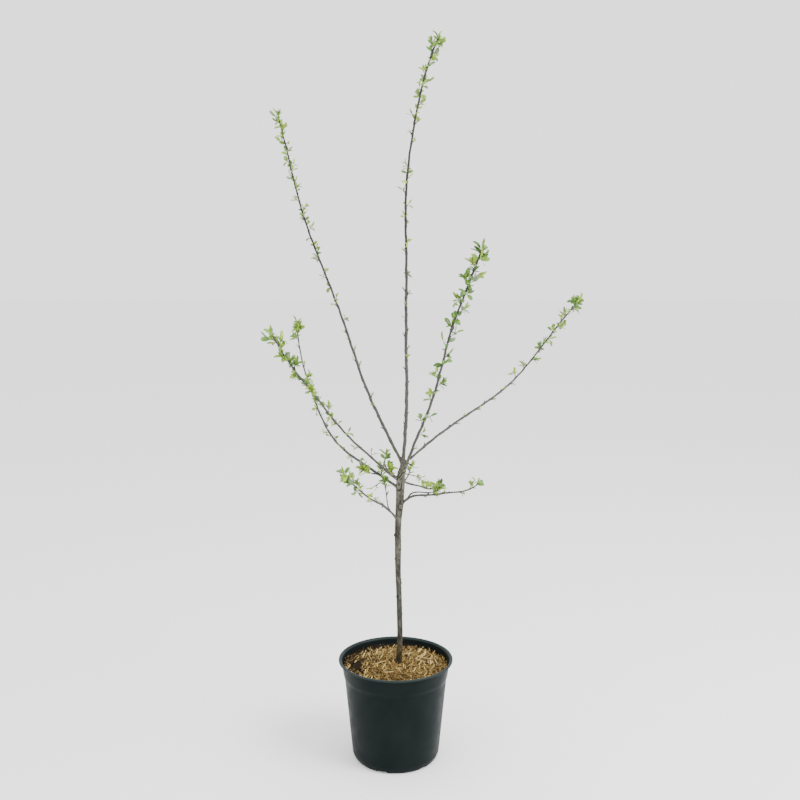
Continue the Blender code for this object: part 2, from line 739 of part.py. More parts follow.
def make_mass(limb, lines, limbs, seats, material):
    """The leafy twigs of one limb, joined into one solid."""
    name = limb.name + "_foliage"
    members = [limb] + [shoot for shoot in SIDE_SHOOTS if shoot.springs_from == limb.name]
    own_names = {member.name for member in members}
    own_lines = [line for line in lines if line.name in own_names]
    other_stems = [line for line in lines if line.name not in own_names]
    pieces = new_collection(name + "_pieces")
    stem = None
    leaves = 0
    for member in members:
        main = member is limb
        start = limb.bare if main else 0
        points, radii = limb_stretch(
            member, start, 1, PLAIN_BOUGH_STEP if main else 0.02, trim_start=GAP / 2 if limb.bare and main else 0
        )
        twig = tube(member.name + "_stem", points, radii, 1 if main else 0, PARTS if main else pieces, material)
        stem = twig if main else stem
        first = max(member.leafy_from, start)
        for foot, along, spur, rosette_leaves in leaf_and_spur_rule(member, first, 1):
            reach = [foot + along * spur * part for part in (0.7, 1)]
            if not keeps_to_own_space(reach, SPUR_THICKNESS / 2, own_lines, other_stems, limbs):
                continue
            add_mesh("spur", spur_mesh(foot, along, spur, SPUR_THICKNESS / 2), pieces)
            for root, direction, face, length in rosette_leaves:
                reach = [root + direction * length * part for part in (0.3, 0.55, 0.8, 1)]
                if keeps_to_own_space(reach, length * LEAF_WIDTH / 2, own_lines, other_stems, limbs):
                    add_mesh("leaf", leaf_mesh(root, direction, face, length), pieces)
                    leaves += 1
    stem.name = name
    boolean(stem, "UNION", pieces, "MANIFOLD")
    applied(stem)
    remove_collection(pieces)
    if not limb.bare:
        for seat in seats:
            boolean(stem, "DIFFERENCE", seat)
        applied(stem)
    keep_main_body(stem.data)
    stem.data.name = name
    print(name, leaves, "leaves", len(stem.data.polygons), "triangles")
    return stem


def make_tree():
    bark = plain_material("trunk_bark", (0.16, 0.15, 0.12), 0.8)
    shoot_bark = plain_material("bough_bark", (0.10, 0.075, 0.07), 0.6)
    leaf_green = plain_material("leaf_green", (0.30, 0.46, 0.10), 0.55)
    trunk_mesh("trunk", 0, PARTS, bark)
    clearance = trunk_mesh("trunk_clearance", GAP, CUTTERS)
    clearance.hide_render = True
    clearance.display_type = "WIRE"
    make_mulch(clearance)

    lines = []
    limbs = []
    low, high = TRUNK_STATIONS[0][0], TRUNK_STATIONS[-1][0]
    heights = [low + (high - low) * i / TRUNK_RINGS for i in range(TRUNK_RINGS + 1)]
    limbs.append(Line("trunk", [trunk_axis(h) for h in heights], [trunk_radius(h) for h in heights]))
    for limb in LIMBS + SIDE_SHOOTS:
        if limb.bare:
            points, radii = limb_stretch(limb, 0, limb.bare, PLAIN_BOUGH_STEP)
            limbs.append(Line(limb.name + "_bough", points, radii))
        points, radii = limb_stretch(limb, limb.bare, 1, 0.02)
        lines.append(Line(limb.name, points, radii))

    seats = {"trunk": clearance}
    for limb in LIMBS:
        if not limb.bare:
            continue
        bough = bough_mesh(limb, limb.name + "_bough", 0, PARTS, shoot_bark)
        for name in {"upper_left": ("trunk", "leader")}.get(limb.name, (limb.springs_from,)):
            boolean(bough, "DIFFERENCE", seats[name])
        applied(bough)
        keep_main_body(bough.data)
        room = bough_mesh(limb, limb.name + "_clearance", GAP, CUTTERS)
        room.hide_render = True
        room.display_type = "WIRE"
        seats[limb.name] = room
    for limb in LIMBS:
        make_mass(limb, lines, limbs, [clearance], leaf_green)


clear_scene()
LIMB_BY_NAME = {limb.name: limb for limb in LIMBS + SIDE_SHOOTS}
PARTS = new_collection("potted_apricot_tree")
CUTTERS = new_collection("cutters")
make_pot()
make_root_ball()
make_tree()
CUTTERS.hide_render = True
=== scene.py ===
import json
from dataclasses import dataclass
from math import atan2, cos, exp, pi, radians, sin, sqrt
from random import Random

import bmesh
import bpy
import numpy as np
from mathutils import Matrix, Vector, noise

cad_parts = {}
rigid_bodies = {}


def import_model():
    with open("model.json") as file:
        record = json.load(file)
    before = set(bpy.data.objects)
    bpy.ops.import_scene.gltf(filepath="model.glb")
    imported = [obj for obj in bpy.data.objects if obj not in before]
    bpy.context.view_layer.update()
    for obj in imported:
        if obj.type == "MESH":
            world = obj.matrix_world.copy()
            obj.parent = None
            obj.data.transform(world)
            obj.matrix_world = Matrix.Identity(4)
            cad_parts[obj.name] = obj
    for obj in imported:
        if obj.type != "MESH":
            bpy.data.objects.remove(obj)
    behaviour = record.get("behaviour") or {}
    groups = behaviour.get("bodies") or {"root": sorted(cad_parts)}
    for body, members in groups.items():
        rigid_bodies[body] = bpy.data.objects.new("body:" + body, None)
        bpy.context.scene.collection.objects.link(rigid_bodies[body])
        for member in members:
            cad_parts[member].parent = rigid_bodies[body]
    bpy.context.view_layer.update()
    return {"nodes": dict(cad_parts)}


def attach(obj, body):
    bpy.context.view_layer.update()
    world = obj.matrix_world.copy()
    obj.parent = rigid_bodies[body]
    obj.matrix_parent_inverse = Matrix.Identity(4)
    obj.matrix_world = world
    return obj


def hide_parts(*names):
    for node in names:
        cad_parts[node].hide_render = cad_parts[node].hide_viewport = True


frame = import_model()

# Studio
# A pale floor under a bright even sky, with a broad soft light from the upper right and a weaker one from the left. The
# camera stands about 2.3 m away, level with the boughs, and looks a little down.
CAMERA_PLACE = (0.0106, -2.298, 1.2116)
CAMERA_TILT = radians(8)
CAMERA_LENS = 44.145
SKY_STRENGTH = 2.0
FLOOR_COLOR = (0.95, 0.95, 0.948)
FLOOR_SIZE = 60.0

camera = bpy.data.objects.new("camera", bpy.data.cameras.new("camera"))
bpy.context.scene.collection.objects.link(camera)
camera.location = CAMERA_PLACE
camera.rotation_euler = (pi / 2 - CAMERA_TILT, 0, 0)
camera.data.sensor_width = 36
camera.data.lens = CAMERA_LENS
camera.data.dof.use_dof = False
bpy.context.scene.camera = camera

sky = bpy.data.worlds.new("sky")
sky.use_nodes = True
sky.node_tree.nodes["Background"].inputs["Color"].default_value = (1, 1, 1, 1)
sky.node_tree.nodes["Background"].inputs["Strength"].default_value = SKY_STRENGTH
bpy.context.scene.world = sky

for light_name, place, size, power in (
    ("key_light", (2.4, -1.3, 2.9), 1.8, 170),
    ("fill_light", (-2.4, -2.2, 2.6), 2.4, 36),
):
    light = bpy.data.lights.new(light_name, "AREA")
    light.size = size
    light.energy = power
    lamp = bpy.data.objects.new(light_name, light)
    bpy.context.scene.collection.objects.link(lamp)
    lamp.location = place
    lamp.rotation_euler = (Vector((0, 0, 0.8)) - Vector(place)).to_track_quat("-Z", "Y").to_euler()


def plain_finish(name, color, roughness, gloss):
    """A material with its colour, roughness and gloss set, and its shader, nodes and links."""
    material = bpy.data.materials.new(name)
    material.use_nodes = True
    nodes, links = material.node_tree.nodes, material.node_tree.links
    shader = nodes["Principled BSDF"]
    shader.inputs["Base Color"].default_value = (*color, 1)
    shader.inputs["Roughness"].default_value = roughness
    shader.inputs["Specular IOR Level"].default_value = gloss
    return material, shader, nodes, links


floor_mesh = bpy.data.meshes.new("floor")
half = FLOOR_SIZE / 2
floor_mesh.from_pydata([(-half, -half, 0), (half, -half, 0), (half, half, 0), (-half, half, 0)], [], [(0, 1, 2, 3)])
floor = bpy.data.objects.new("floor", floor_mesh)
bpy.context.scene.collection.objects.link(floor)
floor_mesh.materials.append(plain_finish("floor_paint", FLOOR_COLOR, 0.9, 0.2)[0])

# Pot
# A round 10 litre nursery pot of thin dark green-grey plastic, moulded in one piece: a flat
# rolled lip, a collar that steps in to a tapered wall, and a foot ring with six drain notches.
POT_HEIGHT = 0.250
RIM_RADIUS = 0.140
RIM_WIDTH = 0.006
RIM_DEPTH = 0.0045
COLLAR_TOP_RADIUS = 0.1325
COLLAR_FOOT_RADIUS = 0.1279
COLLAR_FOOT_HEIGHT = 0.2085
COLLAR_STEP = 0.0022
WALL_TOP_RADIUS = 0.1251
WALL_FOOT_RADIUS = 0.1072
WALL_FOOT_HEIGHT = 0.016
FOOT_RADIUS = 0.0985
FOOT_RING_WIDTH = 0.007
PAD_RADIUS = 0.030
RECESS = 0.004
POT_WALL = 0.002
POT_FLOOR = 0.0025
NOTCHES = 6
NOTCH_WIDTH = 0.024
NOTCH_HEIGHT = 0.006
FIRST_NOTCH = radians(-109)
POT_STEPS = 160
PLASTIC_DARK = (0.0024, 0.0054, 0.0052)
PLASTIC_LIGHT = (0.0048, 0.0084, 0.0082)
# Painted sheen: the lighter colour of the lip's top stands in for the sheen it catches.
PLASTIC_LIP_SHEEN = (0.0175, 0.0250, 0.0245)
# Painted light: the inner wall below the lip is made lighter, standing in for the light it gets from above.
PLASTIC_INNER_LIGHT = (0.0125, 0.0138, 0.0118)


def new_object(name, mesh):
    obj = bpy.data.objects.new(name, mesh)
    bpy.context.scene.collection.objects.link(obj)
    return obj


def baked(obj):
    """The object with its modifiers turned into plain mesh."""
    graph = bpy.context.evaluated_depsgraph_get()
    mesh = bpy.data.meshes.new_from_object(obj.evaluated_get(graph))
    obj.modifiers.clear()
    obj.data = mesh
    return obj


def shaded(obj, angle):
    obj.data.shade_smooth()
    obj.data.set_sharp_from_angle(angle=radians(angle))


def rounded(profile, radius):
    """The profile with every corner that isn't on the axis eased by a short bend."""
    eased = [profile[0]]
    for before, corner, after in zip(profile, profile[1:], profile[2:]):
        a, b, c = Vector(before), Vector(corner), Vector(after)
        reach = min(radius, (a - b).length * 0.45, (c - b).length * 0.45)
        start, end = b + (a - b).normalized() * reach, b + (c - b).normalized() * reach
        for t in (0, 0.25, 0.5, 0.75, 1):
            eased.append(tuple(start * (1 - t) ** 2 + b * 2 * t * (1 - t) + end * t**2))
    eased.append(profile[-1])
    return eased


def turned(name, profile, steps):
    """A profile of (radius, height) that starts and ends on the axis, turned about Z."""
    rings = profile[1:-1]
    points = [(0, 0, profile[0][1])]
    for radius, height in rings:
        for i in range(steps):
            angle = 2 * pi * i / steps
            points.append((radius * cos(angle), radius * sin(angle), height))
    points.append((0, 0, profile[-1][1]))
    last = len(points) - 1
    faces = []
    for i in range(steps):
        near = (i + 1) % steps
        faces.append((0, 1 + i, 1 + near))
        for ring in range(len(rings) - 1):
            a, b = 1 + ring * steps, 1 + (ring + 1) * steps
            faces.append((a + i, b + i, b + near, a + near))
        end = 1 + (len(rings) - 1) * steps
        faces.append((end + i, last, end + near))
    mesh = bpy.data.meshes.new(name)
    mesh.from_pydata(points, [], faces)
    work = bmesh.new()
    work.from_mesh(mesh)
    bmesh.ops.recalc_face_normals(work, faces=work.faces)
    work.to_mesh(mesh)
    work.free()
    return new_object(name, mesh)


def pot_radius(height):
    """Outer radius of the wall below the collar, or of the collar."""
    if height < COLLAR_FOOT_HEIGHT:
        share = (height - WALL_FOOT_HEIGHT) / (COLLAR_FOOT_HEIGHT - WALL_FOOT_HEIGHT)
        return WALL_FOOT_RADIUS + (WALL_TOP_RADIUS - WALL_FOOT_RADIUS) * share
    share = (height - COLLAR_FOOT_HEIGHT) / (POT_HEIGHT - RIM_DEPTH - COLLAR_FOOT_HEIGHT)
    return COLLAR_FOOT_RADIUS + (COLLAR_TOP_RADIUS - COLLAR_FOOT_RADIUS) * share


def pattern(nodes, links, kind, scale, detail=3.0, stretch=(1, 1, 1)):
    """A texture on the piece's own coordinates. Returns its factor or distance socket."""
    place = nodes.new("ShaderNodeTexCoord")
    mapping = nodes.new("ShaderNodeMapping")
    mapping.inputs["Scale"].default_value = stretch
    texture = nodes.new(f"ShaderNodeTex{kind}")
    texture.inputs["Scale"].default_value = scale
    if kind == "Noise":
        texture.inputs["Detail"].default_value = detail
    links.new(place.outputs["Object"], mapping.inputs["Vector"])
    links.new(mapping.outputs["Vector"], texture.inputs["Vector"])
    return texture.outputs["Fac" if kind == "Noise" else "Distance"]


def ramp(nodes, links, factor, stops):
    """Colours along a factor, from (place, colour) pairs."""
    node = nodes.new("ShaderNodeValToRGB")
    while len(node.color_ramp.elements) < len(stops):
        node.color_ramp.elements.new(0.5)
    for element, (place, color) in zip(node.color_ramp.elements, stops):
        element.position = place
        element.color = (*color, 1)
    links.new(factor, node.inputs["Fac"])
    return node.outputs["Color"]


def spread(nodes, links, factor, low, high, start=0.3, end=0.7):
    """A factor stretched to run from one number to another."""
    node = nodes.new("ShaderNodeMapRange")
    node.inputs["From Min"].default_value = start
    node.inputs["From Max"].default_value = end
    node.inputs["To Min"].default_value = low
    node.inputs["To Max"].default_value = high
    links.new(factor, node.inputs["Value"])
    return node.outputs["Result"]


def summed(nodes, links, parts):
    """The sum of the parts, given as (socket, share) pairs."""
    total = None
    for part, share in parts:
        scaled = nodes.new("ShaderNodeMath")
        scaled.operation = "MULTIPLY_ADD"
        scaled.inputs[1].default_value = share
        links.new(part, scaled.inputs[0])
        if total:
            links.new(total, scaled.inputs[2])
        else:
            scaled.inputs[2].default_value = 0
        total = scaled.outputs["Value"]
    return total


def raised(nodes, links, shader, heights, distance, strength=1.0):
    """Bumps for the shader from (height socket, share) pairs. Returns the bump node."""
    bump = nodes.new("ShaderNodeBump")
    bump.inputs["Strength"].default_value = strength
    bump.inputs["Distance"].default_value = distance
    links.new(summed(nodes, links, heights), bump.inputs["Height"])
    links.new(bump.outputs["Normal"], shader.inputs["Normal"])
    return bump


rim_in = RIM_RADIUS - RIM_WIDTH
ring_in = FOOT_RADIUS - FOOT_RING_WIDTH
pot_profile = [
    (0, POT_FLOOR),
    (PAD_RADIUS - 0.001, POT_FLOOR),
    (PAD_RADIUS + 0.001, RECESS + POT_FLOOR),
    (ring_in - 0.001, RECESS + POT_FLOOR),
    (ring_in + 0.001, POT_FLOOR),
    (FOOT_RADIUS - 0.001, POT_FLOOR),
    (FOOT_RADIUS + 0.0038, 0.0085),
    (WALL_FOOT_RADIUS - POT_WALL, WALL_FOOT_HEIGHT + 0.001),
    (pot_radius(COLLAR_FOOT_HEIGHT - 0.00001) - POT_WALL, COLLAR_FOOT_HEIGHT - COLLAR_STEP),
    (COLLAR_FOOT_RADIUS - POT_WALL, COLLAR_FOOT_HEIGHT),
    (COLLAR_TOP_RADIUS - POT_WALL, POT_HEIGHT - RIM_DEPTH),
    (rim_in, POT_HEIGHT - 0.0004),
    (rim_in + 0.0022, POT_HEIGHT),
    (RIM_RADIUS - 0.0004, POT_HEIGHT),
    (RIM_RADIUS, POT_HEIGHT - RIM_DEPTH),
    (COLLAR_TOP_RADIUS + 0.0006, POT_HEIGHT - RIM_DEPTH),
    (COLLAR_TOP_RADIUS, POT_HEIGHT - RIM_DEPTH - 0.0016),
    (COLLAR_FOOT_RADIUS + 0.0002, COLLAR_FOOT_HEIGHT + 0.0040),
    (COLLAR_FOOT_RADIUS - 0.0006, COLLAR_FOOT_HEIGHT + 0.0004),
    (WALL_TOP_RADIUS + 0.0008, COLLAR_FOOT_HEIGHT - COLLAR_STEP - 0.0012),
    (WALL_TOP_RADIUS - 0.0004, COLLAR_FOOT_HEIGHT - COLLAR_STEP - 0.0070),
    (WALL_FOOT_RADIUS, WALL_FOOT_HEIGHT),
    (FOOT_RADIUS + 0.0052, 0.0060),
    (FOOT_RADIUS, 0),
    (ring_in, 0),
    (ring_in - 0.002, RECESS),
    (PAD_RADIUS + 0.002, RECESS),
    (PAD_RADIUS, 0),
    (0, 0),
]
pot = turned("pot_shell", rounded(pot_profile, 0.0016), POT_STEPS)
notch_cutters = bpy.data.collections.new("notch_cutters")
for i in range(NOTCHES):
    inner, outer = ring_in - 0.0045, WALL_FOOT_RADIUS + 0.006
    work = bmesh.new()
    turn = Matrix.Rotation(FIRST_NOTCH + 2 * pi * i / NOTCHES, 4, "Z")
    shift = Matrix.Translation(((inner + outer) / 2, 0, NOTCH_HEIGHT / 2 - 0.001))
    size = Matrix.Diagonal((outer - inner, NOTCH_WIDTH, NOTCH_HEIGHT + 0.002, 1))
    bmesh.ops.create_cube(work, size=1, matrix=turn @ shift @ size)
    bmesh.ops.bevel(
        work, geom=[e for e in work.edges if abs((turn.inverted() @ e.verts[0].co - turn.inverted() @ e.verts[1].co).x) > 0.01],
        offset=0.002, segments=3, profile=0.5, affect="EDGES",
    )
    mesh = bpy.data.meshes.new("notch")
    work.to_mesh(mesh)
    work.free()
    notch_cutters.objects.link(bpy.data.objects.new("notch", mesh))
bpy.context.scene.collection.children.link(notch_cutters)
cut = pot.modifiers.new("Notches", "BOOLEAN")
cut.operation = "DIFFERENCE"
cut.solver = "EXACT"
cut.operand_type = "COLLECTION"
cut.collection = notch_cutters
baked(pot)
for cutter in list(notch_cutters.objects):
    bpy.data.objects.remove(cutter)
bpy.data.collections.remove(notch_cutters)
shaded(pot, 32)
# Painted light on the inside of the wall, from just below the lip down to 0.2 m: the plastic there is mixed towards a
# lighter grey.
dust = pot.data.attributes.new("dust", "FLOAT", "POINT")
dust.data.foreach_set("value", [
    min(max((POT_HEIGHT - 0.005 - v.co.z) / 0.010, 0), 1)
    if v.co.z > 0.2 and v.co.xy.length < pot_radius(v.co.z) - POT_WALL / 2 else 0
    for v in pot.data.vertices
])

pot_plastic, shader, nodes, links = plain_finish("pot_plastic", PLASTIC_DARK, 0.42, 0.06)
cloudy = pattern(nodes, links, "Noise", 14, 5)
# Painted sheen: the lip's top is mixed towards the lighter colour, by height.
lip_sheen = nodes.new("ShaderNodeMix")
lip_sheen.data_type = "RGBA"
lip_sheen.inputs["B"].default_value = (*PLASTIC_LIP_SHEEN, 1)
links.new(ramp(nodes, links, cloudy, [(0.35, PLASTIC_DARK), (0.70, PLASTIC_LIGHT)]), lip_sheen.inputs["A"])
height = nodes.new("ShaderNodeSeparateXYZ")
links.new(nodes.new("ShaderNodeTexCoord").outputs["Object"], height.inputs["Vector"])
links.new(
    spread(nodes, links, height.outputs["Z"], 0, 1, POT_HEIGHT - RIM_DEPTH, POT_HEIGHT - RIM_DEPTH / 2),
    lip_sheen.inputs["Factor"],
)
# Painted light: lighter inside the wall below the lip, by the attribute above.
inner_lit = nodes.new("ShaderNodeMix")
inner_lit.data_type = "RGBA"
inner_lit.inputs["B"].default_value = (*PLASTIC_INNER_LIGHT, 1)
inner_light_at = nodes.new("ShaderNodeAttribute")
inner_light_at.attribute_name = "dust"
links.new(inner_light_at.outputs["Fac"], inner_lit.inputs["Factor"])
links.new(lip_sheen.outputs["Result"], inner_lit.inputs["A"])
links.new(inner_lit.outputs["Result"], shader.inputs["Base Color"])
links.new(spread(nodes, links, pattern(nodes, links, "Noise", 45, 4), 0.36, 0.50), shader.inputs["Roughness"])
grain = pattern(nodes, links, "Noise", 1400, 2)
drawn = pattern(nodes, links, "Noise", 60, 3, (1, 1, 0.08))
raised(nodes, links, shader, [(grain, 0.5), (drawn, 0.6)], 0.0002, 0.5)
pot.data.materials.clear()
pot.data.materials.append(pot_plastic)
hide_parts("pot")
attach(pot, "root")

# Potting mix
# Dark fibrous mix with bits of bark and a few white grains. It fills the pot, and shows as an
# uneven surface along the wall and at the left, where the shavings are thin.
MIX_EDGE_HEIGHT = 0.2305
MIX_CROWN_HEIGHT = 0.2370
MIX_BOTTOM = 0.2224
MIX_RADIUS = 0.1264
MIX_RINGS = 46
MIX_STEPS = 180
MIX_DARK = (0.006, 0.005, 0.0035)
MIX_BROWN = (0.030, 0.021, 0.012)
MIX_DUSTED = (0.085, 0.053, 0.019)


def bare_mix(x, y):
    """How bare of shavings a place is, from 0 to 1: most at the front left, some along the wall behind it."""
    reach, bearing = sqrt(x * x + y * y), atan2(y, x)
    left = exp(-(((x + 0.097) / 0.027) ** 2 + ((y + 0.014) / 0.040) ** 2))
    behind = exp(-(((reach - 0.121) / 0.020) ** 2 + ((bearing - 2.1) / 0.55) ** 2))
    back = max(0.0, (reach - 0.106) / 0.016) * max(0.0, y / 0.10 - 0.15)
    spot = exp(-(((x + 0.048) / 0.011) ** 2 + ((y - 0.030) / 0.014) ** 2))
    patches = noise.noise(Vector((x * 46 + 3.1, y * 46, 0))) * 0.35
    return min(max(left * 1.15 + behind * 1.5 + back + spot * 0.9 + patches - 0.05, 0.0), 1.0)


def fine_dust(x, y):
    """How much finer the shavings are at a place, from 0 to 1: most at the front, short of the rim."""
    return exp(-(((x - 0.006) / 0.045) ** 2 + ((y + 0.088) / 0.034) ** 2))


def mix_height(x, y):
    reach = min(sqrt(x * x + y * y) / MIX_RADIUS, 1.0)
    crown = MIX_CROWN_HEIGHT - MIX_EDGE_HEIGHT
    height = MIX_EDGE_HEIGHT + crown * (0.5 + 0.5 * cos(pi * reach**1.3))
    height += 0.0045 * max(0.0, -x * 0.6 + y * 0.8) / MIX_RADIUS * reach**2
    rough = noise.fractal(Vector((x * 55, y * 55, 0)), 0.6, 2.0, 4)
    return height + 0.0016 * rough


points = [(0, 0, mix_height(0, 0))]
for ring in range(1, MIX_RINGS + 1):
    reach = MIX_RADIUS * ring / MIX_RINGS
    for i in range(MIX_STEPS):
        x, y = reach * cos(2 * pi * i / MIX_STEPS), reach * sin(2 * pi * i / MIX_STEPS)
        points.append((x, y, mix_height(x, y)))
faces = [(0, 1 + i, 1 + (i + 1) % MIX_STEPS) for i in range(MIX_STEPS)]
for ring in range(MIX_RINGS - 1):
    a, b = 1 + ring * MIX_STEPS, 1 + (ring + 1) * MIX_STEPS
    for i in range(MIX_STEPS):
        near = (i + 1) % MIX_STEPS
        faces.append((a + i, b + i, b + near, a + near))
mix_top = bpy.data.meshes.new("mix_top")
mix_top.from_pydata(points, [], faces)
cover = mix_top.attributes.new("cover", "FLOAT", "POINT")
cover.data.foreach_set("value", [1 - bare_mix(p[0], p[1]) for p in points])
coarse = mix_top.attributes.new("coarse", "FLOAT", "POINT")
coarse.data.foreach_set("value", [(1 - bare_mix(p[0], p[1])) * (1 - 0.75 * fine_dust(p[0], p[1])) for p in points])
fine = mix_top.attributes.new("fine", "FLOAT", "POINT")
fine.data.foreach_set("value", [(1 - bare_mix(p[0], p[1])) * (1 + 0.9 * fine_dust(p[0], p[1])) for p in points])
bare = mix_top.attributes.new("bare", "FLOAT", "POINT")
bare.data.foreach_set("value", [0.12 + bare_mix(p[0], p[1]) for p in points])
ground = new_object("mix_top", mix_top)

skirt = len(points)
wall = list(points)
outer_ring = 1 + (MIX_RINGS - 1) * MIX_STEPS
wall += [(p[0] * 0.985, p[1] * 0.985, MIX_BOTTOM) for p in points[outer_ring:]]
solid_faces = list(faces)
for i in range(MIX_STEPS):
    near = (i + 1) % MIX_STEPS
    solid_faces.append((outer_ring + i, skirt + i, skirt + near, outer_ring + near))
solid_faces.append(tuple(skirt + i for i in reversed(range(MIX_STEPS))))
soil_mesh = bpy.data.meshes.new("soil_surface")
soil_mesh.from_pydata(wall, [], solid_faces)
hidden = soil_mesh.attributes.new("hidden", "FLOAT", "POINT")
hidden.data.foreach_set("value", [1 - min(2 * bare_mix(p[0], p[1]), 1) for p in wall])
soil = new_object("soil_surface", soil_mesh)
shaded(soil, 60)
soil_finish, shader, nodes, links = plain_finish("damp_mix", MIX_DARK, 0.92, 0.05)
crumbly = pattern(nodes, links, "Noise", 300, 6)
dusted = nodes.new("ShaderNodeMix")
dusted.data_type = "RGBA"
hidden_at = nodes.new("ShaderNodeAttribute")
hidden_at.attribute_name = "hidden"
links.new(hidden_at.outputs["Fac"], dusted.inputs["Factor"])
links.new(ramp(nodes, links, crumbly, [(0.36, MIX_DARK), (0.68, MIX_BROWN)]), dusted.inputs["A"])
links.new(ramp(nodes, links, crumbly, [(0.36, MIX_BROWN), (0.68, MIX_DUSTED)]), dusted.inputs["B"])
links.new(dusted.outputs["Result"], shader.inputs["Base Color"])
raised(nodes, links, shader, [(crumbly, 1.0), (pattern(nodes, links, "Voronoi", 420), 0.8)], 0.0015)
soil.data.materials.append(soil_finish)
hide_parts("mulch")
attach(soil, "root")

root_ball = frame["nodes"]["root_ball"]
root_ball.data.materials.clear()
root_ball.data.materials.append(soil_finish)


def scattered(name, chip, mask, amount, sizes, tilt, lift, seed, material):
    """Copies of one small mesh strewn over the mix by a node tree, as one plain mesh."""
    tree = bpy.data.node_groups.new(name, "GeometryNodeTree")
    face = tree.interface
    face.new_socket("Geometry", in_out="INPUT", socket_type="NodeSocketGeometry")
    wanted = (
        ("Amount", "NodeSocketFloat", amount), ("Smallest", "NodeSocketFloat", sizes[0]),
        ("Largest", "NodeSocketFloat", sizes[1]), ("Tilt", "NodeSocketFloat", tilt),
        ("Lift", "NodeSocketFloat", lift), ("Seed", "NodeSocketInt", seed),
    )
    keys = {}
    for label, kind, _ in wanted:
        keys[label] = face.new_socket(label, in_out="INPUT", socket_type=kind).identifier
    face.new_socket("Geometry", in_out="OUTPUT", socket_type="NodeSocketGeometry")
    nodes, links = tree.nodes, tree.links
    start, end = nodes.new("NodeGroupInput"), nodes.new("NodeGroupOutput")
    strewn = nodes.new("GeometryNodeDistributePointsOnFaces")
    masked = nodes.new("GeometryNodeInputNamedAttribute")
    masked.data_type = "FLOAT"
    masked.inputs["Name"].default_value = mask
    thick = nodes.new("ShaderNodeMath")
    thick.operation = "MULTIPLY"
    links.new(masked.outputs["Attribute"], thick.inputs[0])
    links.new(start.outputs["Amount"], thick.inputs[1])
    links.new(start.outputs["Geometry"], strewn.inputs["Mesh"])
    links.new(thick.outputs["Value"], strewn.inputs["Density"])
    links.new(start.outputs["Seed"], strewn.inputs["Seed"])
    height = nodes.new("FunctionNodeRandomValue")
    height.data_type = "FLOAT"
    links.new(start.outputs["Lift"], height.inputs[3])
    links.new(start.outputs["Seed"], height.inputs["Seed"])
    upward = nodes.new("ShaderNodeCombineXYZ")
    links.new(height.outputs[1], upward.inputs["Z"])
    raise_it = nodes.new("GeometryNodeSetPosition")
    links.new(strewn.outputs["Points"], raise_it.inputs["Geometry"])
    links.new(upward.outputs["Vector"], raise_it.inputs["Offset"])
    lowest, highest = nodes.new("ShaderNodeCombineXYZ"), nodes.new("ShaderNodeCombineXYZ")
    minus = nodes.new("ShaderNodeMath")
    minus.operation = "MULTIPLY"
    minus.inputs[1].default_value = -1
    links.new(start.outputs["Tilt"], minus.inputs[0])
    for axis in "XY":
        links.new(minus.outputs["Value"], lowest.inputs[axis])
        links.new(start.outputs["Tilt"], highest.inputs[axis])
    highest.inputs["Z"].default_value = 2 * pi
    turn = nodes.new("FunctionNodeRandomValue")
    turn.data_type = "FLOAT_VECTOR"
    links.new(lowest.outputs["Vector"], turn.inputs[0])
    links.new(highest.outputs["Vector"], turn.inputs[1])
    links.new(start.outputs["Seed"], turn.inputs["Seed"])
    size = nodes.new("FunctionNodeRandomValue")
    size.data_type = "FLOAT"
    links.new(start.outputs["Smallest"], size.inputs[2])
    links.new(start.outputs["Largest"], size.inputs[3])
    links.new(start.outputs["Seed"], size.inputs["Seed"])
    picked = nodes.new("GeometryNodeObjectInfo")
    picked.inputs["Object"].default_value = chip
    placed = nodes.new("GeometryNodeInstanceOnPoints")
    links.new(raise_it.outputs["Geometry"], placed.inputs["Points"])
    links.new(picked.outputs["Geometry"], placed.inputs["Instance"])
    links.new(turn.outputs[0], placed.inputs["Rotation"])
    links.new(size.outputs[1], placed.inputs["Scale"])
    real = nodes.new("GeometryNodeRealizeInstances")
    links.new(placed.outputs["Instances"], real.inputs["Geometry"])
    painted = nodes.new("GeometryNodeSetMaterial")
    painted.inputs["Material"].default_value = material
    links.new(real.outputs["Geometry"], painted.inputs["Geometry"])
    links.new(painted.outputs["Geometry"], end.inputs["Geometry"])

    holder = new_object(name, ground.data.copy())
    strew = holder.modifiers.new("Strew", "NODES")
    strew.node_group = tree
    for label, _, value in wanted:
        strew[keys[label]] = value
    baked(holder)
    bpy.data.node_groups.remove(tree)
    return holder


def inside_wall(obj, radius):
    """Pulls what reaches through the pot's wall back inside."""
    count = len(obj.data.vertices)
    places = np.empty(count * 3, np.float32)
    obj.data.vertices.foreach_get("co", places)
    places = places.reshape(-1, 3)
    reach = np.linalg.norm(places[:, :2], axis=1)
    limit = radius + (places[:, 2] - MIX_EDGE_HEIGHT) * 0.13
    over = np.maximum(reach / limit, 1.0)
    places[:, :2] /= over[:, None]
    obj.data.vertices.foreach_set("co", places.ravel())
    obj.data.update()


